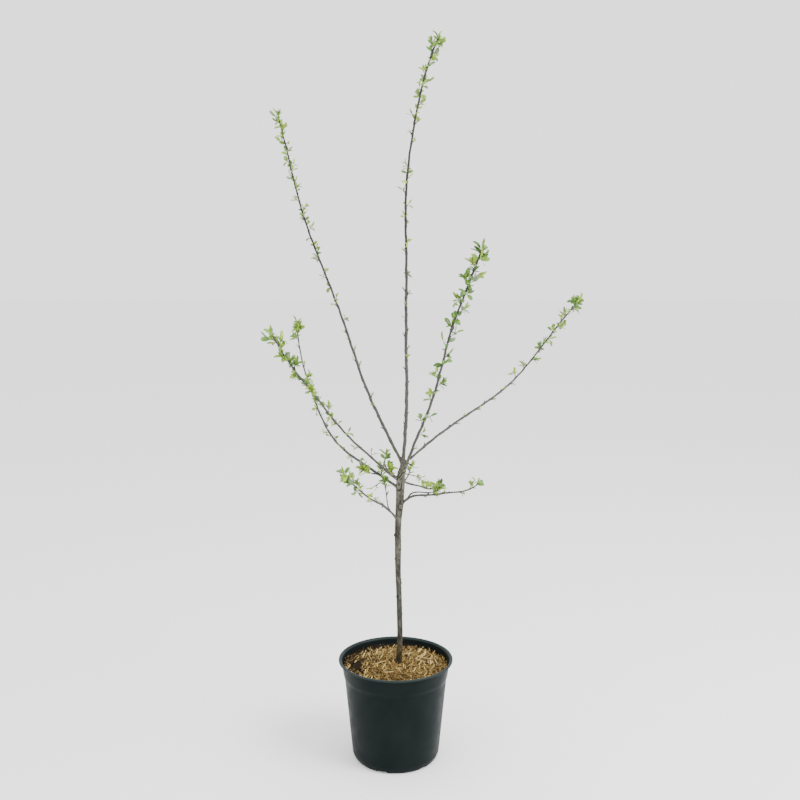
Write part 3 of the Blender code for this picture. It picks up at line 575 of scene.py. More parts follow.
work = bmesh.new()
bmesh.ops.create_icosphere(work, subdivisions=1, radius=0.001)
crumb_chance = Random(5)
for vertex in work.verts:
    vertex.co *= crumb_chance.uniform(0.65, 1.25)
crumb_mesh = bpy.data.meshes.new("crumb")
work.to_mesh(crumb_mesh)
work.free()
crumb = new_object("crumb", crumb_mesh)
crumb_finish, shader, nodes, links = plain_finish("bark_crumbs", MIX_BROWN, 0.9, 0.05)
links.new(
    ramp(nodes, links, pattern(nodes, links, "Noise", 180, 3), [(0.40, MIX_DARK), (0.62, (0.042, 0.029, 0.017))]),
    shader.inputs["Base Color"],
)
white_finish, shader, nodes, links = plain_finish("white_grains", (0.55, 0.53, 0.48), 0.8, 0.2)
raised(nodes, links, shader, [(pattern(nodes, links, "Noise", 900, 3), 1.0)], 0.0004)
for piece_name, mask, amount, sizes, seed, finish in (
    ("mix_crumbs", "bare", 52000, (0.6, 2.1), 11, crumb_finish),
    ("mix_grains", "bare", 700, (0.6, 1.1), 12, white_finish),
):
    crumbs = scattered(piece_name, crumb, mask, amount, sizes, 1.5, 0.0012, seed, finish)
    inside_wall(crumbs, MIX_RADIUS + 0.0004)
    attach(crumbs, "root")
bpy.data.objects.remove(crumb)

# Wood shavings
# A loose layer of fine curled softwood shavings and a few straws, pale and straw-coloured on
# top, brown lower down. They are dealt out by colour: pale, tan and brown.
SHAVING_THICKNESS = 0.0003
SHAVING_PARTS = 7
SHAVINGS = (
    # name, where, colour, length, width, amount per square metre, curl, twist, sizes, highest place, seed
    ("shavings_brown", "cover", (0.100, 0.058, 0.018), 0.011, 0.0020, 16000, 1.5, 0.8, (0.5, 1.2), 0.0020, 21),
    ("shavings_fine", "fine", (0.240, 0.152, 0.050), 0.007, 0.0014, 21000, 1.0, 0.6, (0.5, 1.5), 0.0040, 25),
    ("shavings_tan", "cover", (0.205, 0.128, 0.038), 0.014, 0.0020, 15000, 2.0, 1.4, (0.4, 1.5), 0.0034, 22),
    ("shavings_gold", "coarse", (0.360, 0.245, 0.075), 0.018, 0.0022, 10500, 1.1, 0.9, (0.4, 1.5), 0.0044, 23),
    ("shavings_pale", "coarse", (0.600, 0.450, 0.190), 0.023, 0.0022, 5600, 1.6, 1.5, (0.4, 1.6), 0.0056, 24),
)
STRAWS = (
    # middle x and y, bearing in degrees, length
    (0.074, 0.026, -24, 0.052), (0.062, 0.004, -38, 0.030), (0.030, 0.052, 12, 0.034),
    (-0.040, -0.010, 35, 0.026), (0.088, -0.004, 70, 0.022), (-0.016, -0.062, 8, 0.024),
)


def strip(name, length, width, thickness, curl, twist, parts):
    """A thin bent strip of wood, closed all round, lying along X with its middle at the origin."""
    points, faces = [], []
    place, heading = Vector((0, 0, 0)), -curl / 2
    rows = []
    for i in range(parts + 1):
        rows.append((place.copy(), heading))
        heading += curl / parts
        place = place + Vector((cos(heading), 0, sin(heading))) * length / parts
    middle = (rows[0][0] + rows[-1][0]) / 2
    for i, (centre, heading) in enumerate(rows):
        share = i / parts
        breadth = width * (0.35 + 0.65 * sin(pi * min(max(share, 0.06), 0.94)) ** 0.6) / 2
        ahead = Vector((cos(heading), 0, sin(heading)))
        across = Matrix.Rotation(twist * (share - 0.5), 3, ahead) @ Vector((0, 1, 0))
        up = ahead.cross(across).normalized() * thickness / 2
        for a, b in ((-1, -1), (1, -1), (1, 1), (-1, 1)):
            points.append(centre - middle + across * breadth * a + up * b)
    for i in range(parts):
        for j in range(4):
            a, b = 4 * i + j, 4 * i + (j + 1) % 4
            faces.append((a, b, b + 4, a + 4))
    faces += [(3, 2, 1, 0), tuple(4 * parts + j for j in range(4))]
    mesh = bpy.data.meshes.new(name)
    mesh.from_pydata([tuple(p) for p in points], [], faces)
    work = bmesh.new()
    work.from_mesh(mesh)
    bmesh.ops.recalc_face_normals(work, faces=work.faces)
    work.to_mesh(mesh)
    work.free()
    return mesh


for piece_name, mask, color, length, width, amount, curl, twist, sizes, lift, seed in SHAVINGS:
    chip = new_object("chip", strip("chip", length, width, SHAVING_THICKNESS, curl, twist, SHAVING_PARTS))
    finish, shader, nodes, links = plain_finish(piece_name, color, 0.78, 0.12)
    shade = tuple(c * 0.40 for c in color)
    links.new(
        ramp(nodes, links, pattern(nodes, links, "Noise", 160, 4), [(0.34, shade), (0.60, color)]),
        shader.inputs["Base Color"],
    )
    raised(nodes, links, shader, [(pattern(nodes, links, "Noise", 1500, 3), 1.0)], 0.0003)
    shavings = scattered(piece_name, chip, mask, amount, sizes, 0.42, lift, seed, finish)
    bpy.data.objects.remove(chip)
    inside_wall(shavings, MIX_RADIUS + 0.0004)
    shaded(shavings, 50)
    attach(shavings, "root")

straw_points, straw_faces = [], []
for x, y, bearing, length in STRAWS:
    mesh = strip("straw", length, 0.0016, 0.0009, 0.25, 0.3, 8)
    place = Matrix.Translation((x, y, mix_height(x, y) + 0.0058)) @ Matrix.Rotation(radians(bearing), 4, "Z")
    mesh.transform(place)
    first = len(straw_points)
    straw_points += [tuple(v.co) for v in mesh.vertices]
    straw_faces += [tuple(first + i for i in p.vertices) for p in mesh.polygons]
    bpy.data.meshes.remove(mesh)
straw_mesh = bpy.data.meshes.new("straws")
straw_mesh.from_pydata(straw_points, [], straw_faces)
straws = new_object("straws", straw_mesh)
straws.data.materials.append(bpy.data.materials["shavings_pale"])
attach(straws, "root")

# Trunk
# One slim grey-brown stem from the mix to the fork, swollen where the boughs spring from it,
# with old knots, an oval pruning scar and fine cross-wise pores in its bark.
TRUNK_STATIONS = (
    (0.2223, 0.0073, 0.0190),
    (0.240, 0.0073, 0.0160),
    (0.262, 0.0086, 0.0144),
    (0.310, 0.0103, 0.0137),
    (0.370, 0.0092, 0.0136),
    (0.420, 0.0080, 0.0138),
    (0.470, 0.0060, 0.0141),
    (0.530, 0.0058, 0.0156),
    (0.590, 0.0062, 0.0158),
    (0.640, 0.0100, 0.0194),
    (0.680, 0.0113, 0.0208),
    (0.710, 0.0132, 0.0184),
    (0.727, 0.0164, 0.0124),
    (0.740, 0.0174, 0.0116),
    (0.747, 0.0178, 0.0096),
)
TRUNK_KNOTS = (
    # height, bearing in degrees, size
    (0.360, -20, 0.0030),
    (0.402, 175, 0.0026),
    (0.437, 15, 0.0030),
    (0.497, 185, 0.0028),
    (0.523, -60, 0.0026),
    (0.556, 178, 0.0042),
    (0.600, 30, 0.0024),
)
SCARS = (
    # height, bearing in degrees, half width, half height and depth of the dark core:
    # a pruned bough's, and the collar of the lowest right shoot
    (0.687, -110, 0.0060, 0.0135, 0.45),
    (0.633, -70, 0.0052, 0.0080, 0.0),
)
FORK_HEIGHT = 0.718
FORK_SPAN = 0.026
STRANDS = 9
STRAND_TURN = 600
TRUNK_VOXEL = 0.0009
BARK_DARK = (0.017, 0.0158, 0.0128)
BARK_MID = (0.057, 0.0550, 0.0440)
BARK_LIGHT = (0.152, 0.148, 0.110)
SHOOT_DARK = (0.023, 0.0195, 0.0197)
SHOOT_BROWN = (0.036, 0.0310, 0.0310)
SHOOT_GREY = (0.046, 0.0460, 0.0435)
SHOOT_PALE = (0.071, 0.0710, 0.0670)
PORE_PALE = (0.115, 0.108, 0.090)
# Browner and darker at the stem's foot: a soil stain with painted shade near the mix.
SOIL_STAIN_AND_SHADE = (1.0, 0.84, 0.52)


@dataclass(frozen=True)
class Limb:
    """One shoot: a bow in an upright plane, tapering from foot to tip. Lengths in metres, angles in degrees."""

    name: str
    bearing: float
    foot: float
    reach: float
    rise: float
    starts_at: float
    ends_at: float
    fullness: float
    thickness: float
    tip: float
    springs_from: str = "trunk"
    sway: float = 0.0
    waves: float = 1.5
    phase: float = 0.0
    bare: float = 0.0
    leafy_from: float = 0.0
    empty: tuple = (2.0, 2.0)
    spur_gap: float = 0.024
    spur: float = 0.008
    few_leaves: float = 0.0
    many_leaves: float = 5.0
    small_leaf: float = 0.012
    large_leaf: float = 0.018


# The foot is a height on the trunk, or a share of the length of the limb that it springs from.
LIMBS = (
    Limb(
        name="leader", bearing=35, foot=0.7387,
        reach=0.096, rise=0.979, starts_at=83, ends_at=64, fullness=1.05,
        sway=0.0022, waves=2.5, phase=0.59, thickness=0.0085, tip=0.0036,
        bare=0.4, leafy_from=0.42, empty=(0.72, 0.79), spur_gap=0.023,
        few_leaves=1.3, many_leaves=3.6, small_leaf=0.014, large_leaf=0.0225,
    ),
    Limb(
        name="upper_left", bearing=150, foot=0.7347,
        reach=0.352, rise=0.829, starts_at=59, ends_at=73, fullness=1.08,
        sway=0.0075, waves=1.5, phase=0.58, thickness=0.0074, tip=0.0032,
        bare=0.34, leafy_from=0.38, spur_gap=0.021,
        few_leaves=1.5, many_leaves=2.9, small_leaf=0.014, large_leaf=0.0205,
    ),
    Limb(
        name="upper_right", bearing=-52, foot=0.6888,
        reach=0.273, rise=0.544, starts_at=61, ends_at=62, fullness=0.88,
        sway=0.007, waves=1.5, phase=0.16, thickness=0.0073, tip=0.0034,
        bare=0.16, leafy_from=0.18, spur_gap=0.023, spur=0.012,
        few_leaves=2.1, many_leaves=3.5, small_leaf=0.0195, large_leaf=0.0255,
    ),
    Limb(
        name="right", springs_from="upper_right", bearing=28, foot=0.117,
        reach=0.49, rise=0.362, starts_at=30, ends_at=46, fullness=1.15,
        sway=0.012, waves=1, phase=0.2, thickness=0.0057, tip=0.0034,
        bare=0.5, leafy_from=0.56, spur_gap=0.022,
        few_leaves=2.4, many_leaves=4.4, small_leaf=0.016, large_leaf=0.0225,
    ),
    Limb(
        name="mid_left", bearing=208, foot=0.6906,
        reach=0.316, rise=0.358, starts_at=37, ends_at=59, fullness=0.91,
        sway=0.0019, waves=2, phase=0.92, thickness=0.0058, tip=0.0034,
        bare=0.16, leafy_from=0.18, spur_gap=0.025,
        few_leaves=2.1, many_leaves=4.2, small_leaf=0.015, large_leaf=0.0255,
    ),
    Limb(
        name="low_left", bearing=134, foot=0.6738,
        reach=0.388, rise=0.374, starts_at=14, ends_at=85, fullness=1.31,
        sway=0.0086, waves=1.5, phase=0.16, thickness=0.0072, tip=0.003,
        bare=0.08, leafy_from=0.15, empty=(0.8, 0.93), spur_gap=0.029,
        few_leaves=2.0, many_leaves=3.3, small_leaf=0.0145, large_leaf=0.022,
    ),
    Limb(
        name="low_right", bearing=-32, foot=0.6263,
        reach=0.206, rise=0.081, starts_at=56, ends_at=38, fullness=1.2,
        sway=0.0032, waves=1.5, phase=0.13, thickness=0.0058, tip=0.0028,
        leafy_from=0.86, spur_gap=0.02,
        few_leaves=3, many_leaves=5, small_leaf=0.015, large_leaf=0.0205,
    ),
    Limb(
        name="right_short", bearing=40, foot=0.6952,
        reach=0.12, rise=-0.032, starts_at=-20, ends_at=20, fullness=0.93,
        sway=0.002, waves=1.5, phase=0.49, thickness=0.0054, tip=0.0026,
        leafy_from=0.45, spur_gap=0.018,
        few_leaves=3, many_leaves=5, small_leaf=0.016, large_leaf=0.023,
    ),
    Limb(
        name="right_thin", bearing=8, foot=0.7138,
        reach=0.048, rise=-0.019, starts_at=-31, ends_at=-66, fullness=0.7,
        thickness=0.0028, tip=0.0018,
        leafy_from=0.8,
        many_leaves=4, small_leaf=0.015, large_leaf=0.0175,
    ),
    Limb(
        name="lowest_left", bearing=236, foot=0.5946,
        reach=0.209, rise=0.151, starts_at=46, ends_at=48, fullness=1.1,
        sway=0.0014, waves=1.5, phase=0.98, thickness=0.0056, tip=0.0028,
        leafy_from=0.44, spur_gap=0.018,
        few_leaves=3, many_leaves=5, small_leaf=0.015, large_leaf=0.022,
    ),
    Limb(
        name="inner_left", bearing=172, foot=0.6978,
        reach=0.037, rise=0.053, starts_at=23, ends_at=109, fullness=1.23,
        thickness=0.004, tip=0.0022,
        leafy_from=0.22, spur_gap=0.016,
        few_leaves=4, many_leaves=5, small_leaf=0.021, large_leaf=0.02,
    ),
)

# Side shoots, each part of the mass of the limb that it springs from
SIDE_SHOOTS = (
    Limb(
        name="low_right_side", springs_from="low_right", bearing=-16, foot=0.145,
        reach=0.0746, rise=0.026, starts_at=70, ends_at=34, fullness=1.31,
        thickness=0.0038, tip=0.0024,
        leafy_from=0.75, spur_gap=0.014,
        few_leaves=3, many_leaves=5, small_leaf=0.0153, large_leaf=0.0177,
    ),
    Limb(
        name="right_upturned", springs_from="right_short", bearing=30, foot=0.1,
        reach=0.018, rise=0.031, starts_at=35, ends_at=69, fullness=0.95,
        thickness=0.0036, tip=0.0024,
        leafy_from=0.85,
        many_leaves=6, small_leaf=0.0205, large_leaf=0.0215,
    ),
    Limb(
        name="low_left_inner", springs_from="low_left", bearing=178, foot=0.105,
        reach=0.037, rise=0.013, starts_at=29, ends_at=43, fullness=1.02,
        thickness=0.0032, tip=0.0022,
        leafy_from=0.7, spur_gap=0.012,
        few_leaves=5, many_leaves=6, small_leaf=0.0225, large_leaf=0.0265,
    ),
    Limb(
        name="low_left_drooping", springs_from="low_left", bearing=200, foot=0.09,
        reach=0.027, rise=-0.022, starts_at=-58, ends_at=-32, fullness=1.3,
        thickness=0.0028, tip=0.002,
        leafy_from=0.6, spur_gap=0.012,
        few_leaves=3, many_leaves=4, small_leaf=0.0118, large_leaf=0.0142,
    ),
    Limb(
        name="lowest_left_side", springs_from="lowest_left", bearing=200, foot=0.2,
        reach=0.01, rise=0.068, starts_at=80, ends_at=80, fullness=0.83,
        thickness=0.003, tip=0.002,
        leafy_from=0.8, spur_gap=0.012,
        few_leaves=3, many_leaves=5, small_leaf=0.0142, large_leaf=0.0153,
    ),
    Limb(
        name="lowest_left_stub", springs_from="lowest_left", bearing=190, foot=0.225,
        reach=0.016, rise=0.016, starts_at=52, ends_at=31, fullness=0.98,
        thickness=0.0026, tip=0.002,
        leafy_from=0.95,
        many_leaves=2, small_leaf=0.0106, large_leaf=0.0106,
    ),
    Limb(
        name="low_left_tuft", springs_from="low_left", bearing=120, foot=0.1,
        reach=0.004, rise=0.014, starts_at=70, ends_at=80, fullness=1,
        thickness=0.0026, tip=0.002,
        leafy_from=0.95,
        many_leaves=5, small_leaf=0.0205, large_leaf=0.0215,
    ),
    Limb(
        name="inner_left_side", springs_from="inner_left", bearing=250, foot=0.3,
        reach=0.004, rise=0.009, starts_at=60, ends_at=75, fullness=1,
        thickness=0.0026, tip=0.002,
        leafy_from=0.95,
        many_leaves=5, small_leaf=0.0185, large_leaf=0.0195,
    ),
)
LIMB_BY_NAME = {limb.name: limb for limb in LIMBS + SIDE_SHOOTS}


def smooth_through(stations, height):
    """The second and third values of the stations at a height, on a smooth curve through them."""
    heights = [station[0] for station in stations]
    last = len(stations) - 2
    i = min(max(int(np.searchsorted(heights, height)) - 1, 0), last)
    t = (height - heights[i]) / (heights[i + 1] - heights[i])
    found = []
    for column in (1, 2):
        a, b = stations[i][column], stations[i + 1][column]
        before = stations[max(i - 1, 0)]
        after = stations[min(i + 2, last + 1)]
        span = heights[i + 1] - heights[i]
        start = (b - before[column]) / (heights[i + 1] - before[0]) * span
        end = (after[column] - a) / (after[0] - heights[i]) * span
        found.append(
            (2 * t**3 - 3 * t**2 + 1) * a
            + (t**3 - 2 * t**2 + t) * start
            + (3 * t**2 - 2 * t**3) * b
            + (t**3 - t**2) * end
        )
    return found


def trunk_axis(height):
    return Vector((smooth_through(TRUNK_STATIONS, height)[0], 0, height))


def trunk_radius(height):
    return smooth_through(TRUNK_STATIONS, height)[1] / 2


def limb_point(limb, share):
    """The place on a limb's centre line at a share of its curve, from 0 at the foot to 1 at the tip."""
    chord = sqrt(limb.reach**2 + limb.rise**2)
    handle = chord * limb.fullness / 3
    start, end = radians(limb.starts_at), radians(limb.ends_at)
    corners = (
        Vector((0, 0)),
        Vector((cos(start), sin(start))) * handle,
        Vector((limb.reach, limb.rise)) - Vector((cos(end), sin(end))) * handle,
        Vector((limb.reach, limb.rise)),
    )
    rest = 1 - share
    weights = (rest**3, 3 * rest**2 * share, 3 * rest * share**2, share**3)
    place = sum((corner * weight for corner, weight in zip(corners, weights)), Vector((0, 0)))
    swing = limb.sway * sin(2 * pi * (limb.waves * share + limb.phase)) * 4 * share * rest
    slope = atan2(limb.rise, limb.reach)
    place += Vector((-sin(slope), cos(slope))) * swing
    bearing = radians(limb.bearing)
    return limb_foot(limb) + Vector((place.x * cos(bearing), place.x * sin(bearing), place.y))


def limb_foot(limb):
    if limb.springs_from == "trunk":
        return trunk_axis(limb.foot)
    return limb_point(LIMB_BY_NAME[limb.springs_from], limb.foot)


def limb_radius(limb, share):
    return (limb.thickness + (limb.tip - limb.thickness) * share**0.8) / 2


def limb_length(limb, first, last):
    span = (last - first) / 40
    places = [limb_point(limb, first + span * i) for i in range(41)]
    return sum((b - a).length for a, b in zip(places, places[1:]))


def tube_parts(points, radii, sides):
    """The points and faces of a closed tube along a line, its rings kept from twisting."""
    places, faces = [], []
    ahead = (points[1] - points[0]).normalized()
    side = ahead.orthogonal().normalized()
    for i, (point, radius) in enumerate(zip(points, radii)):
        low, high = points[max(i - 1, 0)], points[min(i + 1, len(points) - 1)]
        ahead = (high - low).normalized()
        side = (side - ahead * side.dot(ahead)).normalized()
        across = ahead.cross(side)
        for j in range(sides):
            angle = 2 * pi * j / sides
            places.append(point + (side * cos(angle) + across * sin(angle)) * radius)
    for i in range(len(points) - 1):
        for j in range(sides):
            a, b = i * sides + j, i * sides + (j + 1) % sides
            faces.append((a, b, b + sides, a + sides))
    end = (len(points) - 1) * sides
    faces.append(tuple(reversed(range(sides))))
    faces.append(tuple(end + j for j in range(sides)))
    return places, faces


class Heap:
    """Shapes gathered as points and faces, to be made one mesh."""

    def __init__(self):
        self.points = []
        self.faces = []

    def add(self, points, faces):
        first = len(self.points)
        self.points += [tuple(point) for point in points]
        self.faces += [tuple(first + i for i in face) for face in faces]

    def mesh(self, name):
        mesh = bpy.data.meshes.new(name)
        mesh.from_pydata(self.points, [], self.faces)
        return mesh


def ball_parts(centre, turn, radii, sides=10, rings=6):
    """The points and faces of an egg shape, its last radius along the turned Z."""
    work = bmesh.new()
    matrix = Matrix.Translation(centre) @ turn @ Matrix.Diagonal((*radii, 1))
    bmesh.ops.create_uvsphere(work, u_segments=sides, v_segments=rings, radius=1, matrix=matrix)
    work.verts.index_update()
    parts = [v.co.copy() for v in work.verts], [tuple(v.index for v in f.verts) for f in work.faces]
    work.free()
    return parts


wood = Heap()
steps = 120
low, high = TRUNK_STATIONS[0][0], TRUNK_STATIONS[-1][0]
heights = [low + (high - low) * i / steps for i in range(steps + 1)]
wood.add(*tube_parts([trunk_axis(h) for h in heights], [trunk_radius(h) for h in heights], 24))
for height, bearing, size in TRUNK_KNOTS:
    turn = radians(bearing)
    out = Vector((cos(turn), sin(turn), 0.5)).normalized()
    centre = trunk_axis(height) + out * (trunk_radius(height) - size * 0.1)
    wood.add(*ball_parts(centre, out.to_track_quat("Z", "X").to_matrix().to_4x4(), (size * 0.85, size * 0.85, size)))
for scar_height, bearing, half_width, half_height, _ in SCARS:
    for i in range(26):
        around = 2 * pi * i / 26
        turn = radians(bearing) + half_width / trunk_radius(scar_height) * cos(around)
        height = scar_height + half_height * sin(around)
        centre = trunk_axis(height) + Vector((cos(turn), sin(turn), 0)) * (trunk_radius(height) + 0.0002)
        wood.add(*ball_parts(centre, Matrix.Identity(4), (0.0021, 0.0021, 0.0021), 8, 5))
collar_height, bearing = SCARS[1][:2]
out = Vector((cos(radians(bearing)), sin(radians(bearing)), 0)) * trunk_radius(collar_height)
low_right = next(limb for limb in LIMBS if limb.name == "low_right")
collar_end = limb_point(low_right, 0.14)
collar = [trunk_axis(collar_height) + out * 0.85, trunk_axis(collar_height + 0.006) + out * 1.05, collar_end]
wood.add(*tube_parts(collar, [0.0036, 0.0034, limb_radius(low_right, 0.14)], 12))
for limb in LIMBS:
    length = limb_length(limb, 0, 1)
    stub = min(0.050 / length, 0.9)
    places = [limb_point(limb, stub * i / 20) for i in range(21)]
    radii = []
    for i in range(21):
        along = length * stub * i / 20
        flare = 1 + 0.6 * exp(-along / 0.010)
        radii.append(limb_radius(limb, stub * i / 20) * flare * (1 - 0.16 * (i / 20) ** 2))
    if limb.springs_from == "trunk":
        wood.add(*tube_parts(places, radii, 14))
    else:
        wood.add(*tube_parts(places[2:], radii[2:], 14))
trunk = new_object("trunk_relief", wood.mesh("trunk_relief"))
remesh = trunk.modifiers.new("Joined", "REMESH")
remesh.mode = "VOXEL"
remesh.voxel_size = TRUNK_VOXEL
eased = trunk.modifiers.new("Eased", "SMOOTH")
eased.factor = 0.5
eased.iterations = 5
baked(trunk)


def bark_relief(mesh, depth, contrast):
    """Moves each point of the bark in or out, and notes how light the bark is there from 0 to 1.

    Long ripples, cross-wise pores and, at the fork, twisted strands. The lightness follows the relief as painted
    light: painted highlight on the ridges and strands, painted shade in the hollows. A crease round the scar is
    painted dark, most below it as a painted shadow, and the stem's foot is painted darker as shade. The knots
    and the middle of the scar are dark, and the bark is lighter higher up and at the fork.
    """
    count = len(mesh.vertices)
    places, normals = np.empty(count * 3, np.float32), np.empty(count * 3, np.float32)
    mesh.vertices.foreach_get("co", places)
    mesh.vertices.foreach_get("normal", normals)
    places, normals = places.reshape(-1, 3), normals.reshape(-1, 3)
    moves, tones = np.empty(count, np.float32), np.empty(count, np.float32)
    spots = []
    for height, bearing, size in TRUNK_KNOTS:
        out = Vector((cos(radians(bearing)), sin(radians(bearing)), 0.3))
        spots.append((trunk_axis(height) + out * trunk_radius(height), size))
    fork_axis = trunk_axis(FORK_HEIGHT)
    scars = []
    for height, bearing, half_width, half_height, core in SCARS:
        out = Vector((cos(radians(bearing)), sin(radians(bearing)), 0))
        scars.append((trunk_axis(height) + out * trunk_radius(height), half_width, half_height, core))
    for i, (x, y, z) in enumerate(places.tolist()):
        ripple = noise.noise(Vector((x * 150, y * 150, z * 22)))
        slanted = noise.noise(Vector((x * 260 + z * 130, y * 260, z * 60)))
        pore = max(0.0, noise.noise(Vector((x * 210, y * 210, z * 900))) - 0.22)
        fork = exp(-(((z - FORK_HEIGHT) / FORK_SPAN) ** 2)) * (1 if abs(x - fork_axis.x) < 0.03 else 0)
        strand = sin(STRANDS * atan2(y, x - fork_axis.x) - STRAND_TURN * z + 1.2 * slanted) * fork
        moves[i] = 0.9 * ripple + 0.5 * slanted + 1.5 * pore + 1.8 * strand
        # Painted light: the tone follows the ripples, slant and strands of the relief, so ridges are painted pale and
        # hollows dark.
        tone = 0.42 + contrast * (0.26 * ripple + 0.20 * slanted) + 0.48 * strand
        tone += 0.14 * min(max((z - 0.45) / 0.25, -0.5), 1.0) + 0.16 * fork
        place = Vector((x, y, z))
        for centre, size in spots:
            tone -= 0.30 * exp(-(((place - centre).length / (size * 1.3)) ** 2))
        for scar, half_width, half_height, core in scars:
            away = place - scar
            oval = sqrt((Vector((away.x, away.y)).length / half_width) ** 2 + (away.z / half_height) ** 2)
            if oval < 1.6:
                tone += 0.40 * exp(-(((oval - 0.62) / 0.28) ** 2)) - core * exp(-((oval / 0.22) ** 2))
                # Painted shade in the crease just outside the scar's raised rim, full below it as a painted shadow and
                # weaker above.
                tone -= 0.55 * exp(-(((oval - 1.15) / 0.15) ** 2)) * (1 if away.z < 0.003 else 0.4)
        # Painted shade: the bark darker towards the stem's foot, where it meets the mix.
        tone -= 0.10 * min(max((0.285 - z) / 0.05, 0.0), 1.0)
        tones[i] = min(max(tone, 0.0), 1.0)
    places += normals * (moves * depth)[:, None]
    mesh.vertices.foreach_set("co", places.ravel())
    mesh.attributes.new("tone", "FLOAT", "POINT").data.foreach_set("value", tones)
    mesh.update()


bark_relief(trunk.data, 0.00042, 1.0)
trunk.data.shade_smooth()

bark, shader, nodes, links = plain_finish("bark", BARK_MID, 0.82, 0.08)
# The tone attribute carries painted light: pale ridges, dark hollows, a painted shadow below the scar and painted shade
# at the stem's foot.
light_at = nodes.new("ShaderNodeAttribute")
light_at.attribute_name = "tone"
speckles = spread(nodes, links, pattern(nodes, links, "Noise", 260, 5, (1, 1, 0.35)), -0.20, 0.20)
grain = spread(nodes, links, pattern(nodes, links, "Noise", 1500, 4, (1, 1, 0.25)), -0.17, 0.17)
pores = spread(nodes, links, pattern(nodes, links, "Noise", 360, 2, (1, 1, 4.5)), 0, 1, 0.60, 0.66)
lightness = summed(nodes, links, [(light_at.outputs["Fac"], 1), (speckles, 1), (grain, 1), (pores, 0.26)])
old = ramp(nodes, links, lightness, [(0.12, BARK_DARK), (0.50, BARK_MID), (0.92, BARK_LIGHT)])
streaks = pattern(nodes, links, "Noise", 300, 5, (1, 1, 0.4))
place = nodes.new("ShaderNodeTexCoord")
parts_of = nodes.new("ShaderNodeSeparateXYZ")
links.new(place.outputs["Object"], parts_of.inputs["Vector"])
browned = nodes.new("ShaderNodeMix")
browned.data_type = "RGBA"
links.new(spread(nodes, links, parts_of.outputs["Z"], 0, 1, 0.95, 1.30), browned.inputs["Factor"])
links.new(ramp(nodes, links, streaks, [(0.35, SHOOT_GREY), (0.70, SHOOT_PALE)]), browned.inputs["A"])
links.new(ramp(nodes, links, streaks, [(0.35, SHOOT_DARK), (0.70, SHOOT_BROWN)]), browned.inputs["B"])
dotted = nodes.new("ShaderNodeMix")
dotted.data_type = "RGBA"
dotted.inputs["B"].default_value = (*PORE_PALE, 1)
links.new(summed(nodes, links, [(pores, 0.55)]), dotted.inputs["Factor"])
links.new(browned.outputs["Result"], dotted.inputs["A"])
young = dotted.outputs["Result"]
shifted = nodes.new("ShaderNodeVectorMath")
shifted.operation = "SUBTRACT"
shifted.inputs[1].default_value = (0.012, 0, 0)
flattened = nodes.new("ShaderNodeVectorMath")
flattened.operation = "MULTIPLY"
flattened.inputs[1].default_value = (1, 1, 0)
across = nodes.new("ShaderNodeVectorMath")
across.operation = "LENGTH"
above = nodes.new("ShaderNodeMapRange")
above.inputs["From Min"].default_value = 0.70
above.inputs["From Max"].default_value = 0.80
above.inputs["To Max"].default_value = 0.90
outward = nodes.new("ShaderNodeMapRange")
outward.inputs["From Min"].default_value = 0.010
outward.inputs["From Max"].default_value = 0.060
both = nodes.new("ShaderNodeMath")
both.operation = "MAXIMUM"
both.use_clamp = True
links.new(place.outputs["Object"], shifted.inputs[0])
links.new(shifted.outputs["Vector"], flattened.inputs[0])
links.new(flattened.outputs["Vector"], across.inputs[0])
links.new(across.outputs["Value"], outward.inputs["Value"])
links.new(parts_of.outputs["Z"], above.inputs["Value"])
links.new(outward.outputs["Result"], both.inputs[0])
links.new(above.outputs["Result"], both.inputs[1])
aged = nodes.new("ShaderNodeMix")
aged.data_type = "RGBA"
links.new(both.outputs["Value"], aged.inputs["Factor"])
links.new(old, aged.inputs["A"])
links.new(young, aged.inputs["B"])
# Soil stain with painted shade: the bark browner and darker towards the stem's foot.
stained_and_shaded = nodes.new("ShaderNodeMix")
stained_and_shaded.data_type = "RGBA"
stained_and_shaded.blend_type = "MULTIPLY"
stained_and_shaded.inputs["B"].default_value = (*SOIL_STAIN_AND_SHADE, 1)
links.new(spread(nodes, links, parts_of.outputs["Z"], 1, 0, 0.262, 0.318), stained_and_shaded.inputs["Factor"])
links.new(aged.outputs["Result"], stained_and_shaded.inputs["A"])
links.new(stained_and_shaded.outputs["Result"], shader.inputs["Base Color"])
links.new(spread(nodes, links, both.outputs["Value"], 0.85, 0.55, 0, 1), shader.inputs["Roughness"])
bump = raised(
    nodes, links, shader,
    [(pattern(nodes, links, "Noise", 420, 5, (1, 1, 0.5)), 1.0), (grain, 1.2), (pores, 0.3)],
    0.0008,
)
links.new(spread(nodes, links, both.outputs["Value"], 1.0, 0.3, 0, 1), bump.inputs["Strength"])
trunk.data.materials.append(bark)
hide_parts("trunk")
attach(trunk, "root")

# Boughs
# Last year's growth, grey-brown at the foot and darker outwards. Each bough is slightly
# thickened at every bud, and runs from its collar on the trunk to its leafy stretch.
BOUGH_STEP = 0.0015
TWIG_STEP = 0.0028
NODE_SWELLING = 0.10
BARK_SWELL = 1.07
TIP_CROWDING = 0.78


def node_shares(limb, first, last):
    """The seeded places of the spurs on a leafy stretch, as (number, share, part of the stretch)."""
    count = max(int(limb_length(limb, first, last) / limb.spur_gap), 0)
    found = []
    for k in range(count + 1):
        chance = Random(f"{limb.name} spur {k}")
        part = 1.0 if k == count else (k + chance.uniform(0.2, 0.8)) / count
        share = first + (last - first) * part**TIP_CROWDING
        if not limb.empty[0] < share < limb.empty[1]:
            found.append((k, share, part, k == count, chance))
    return found


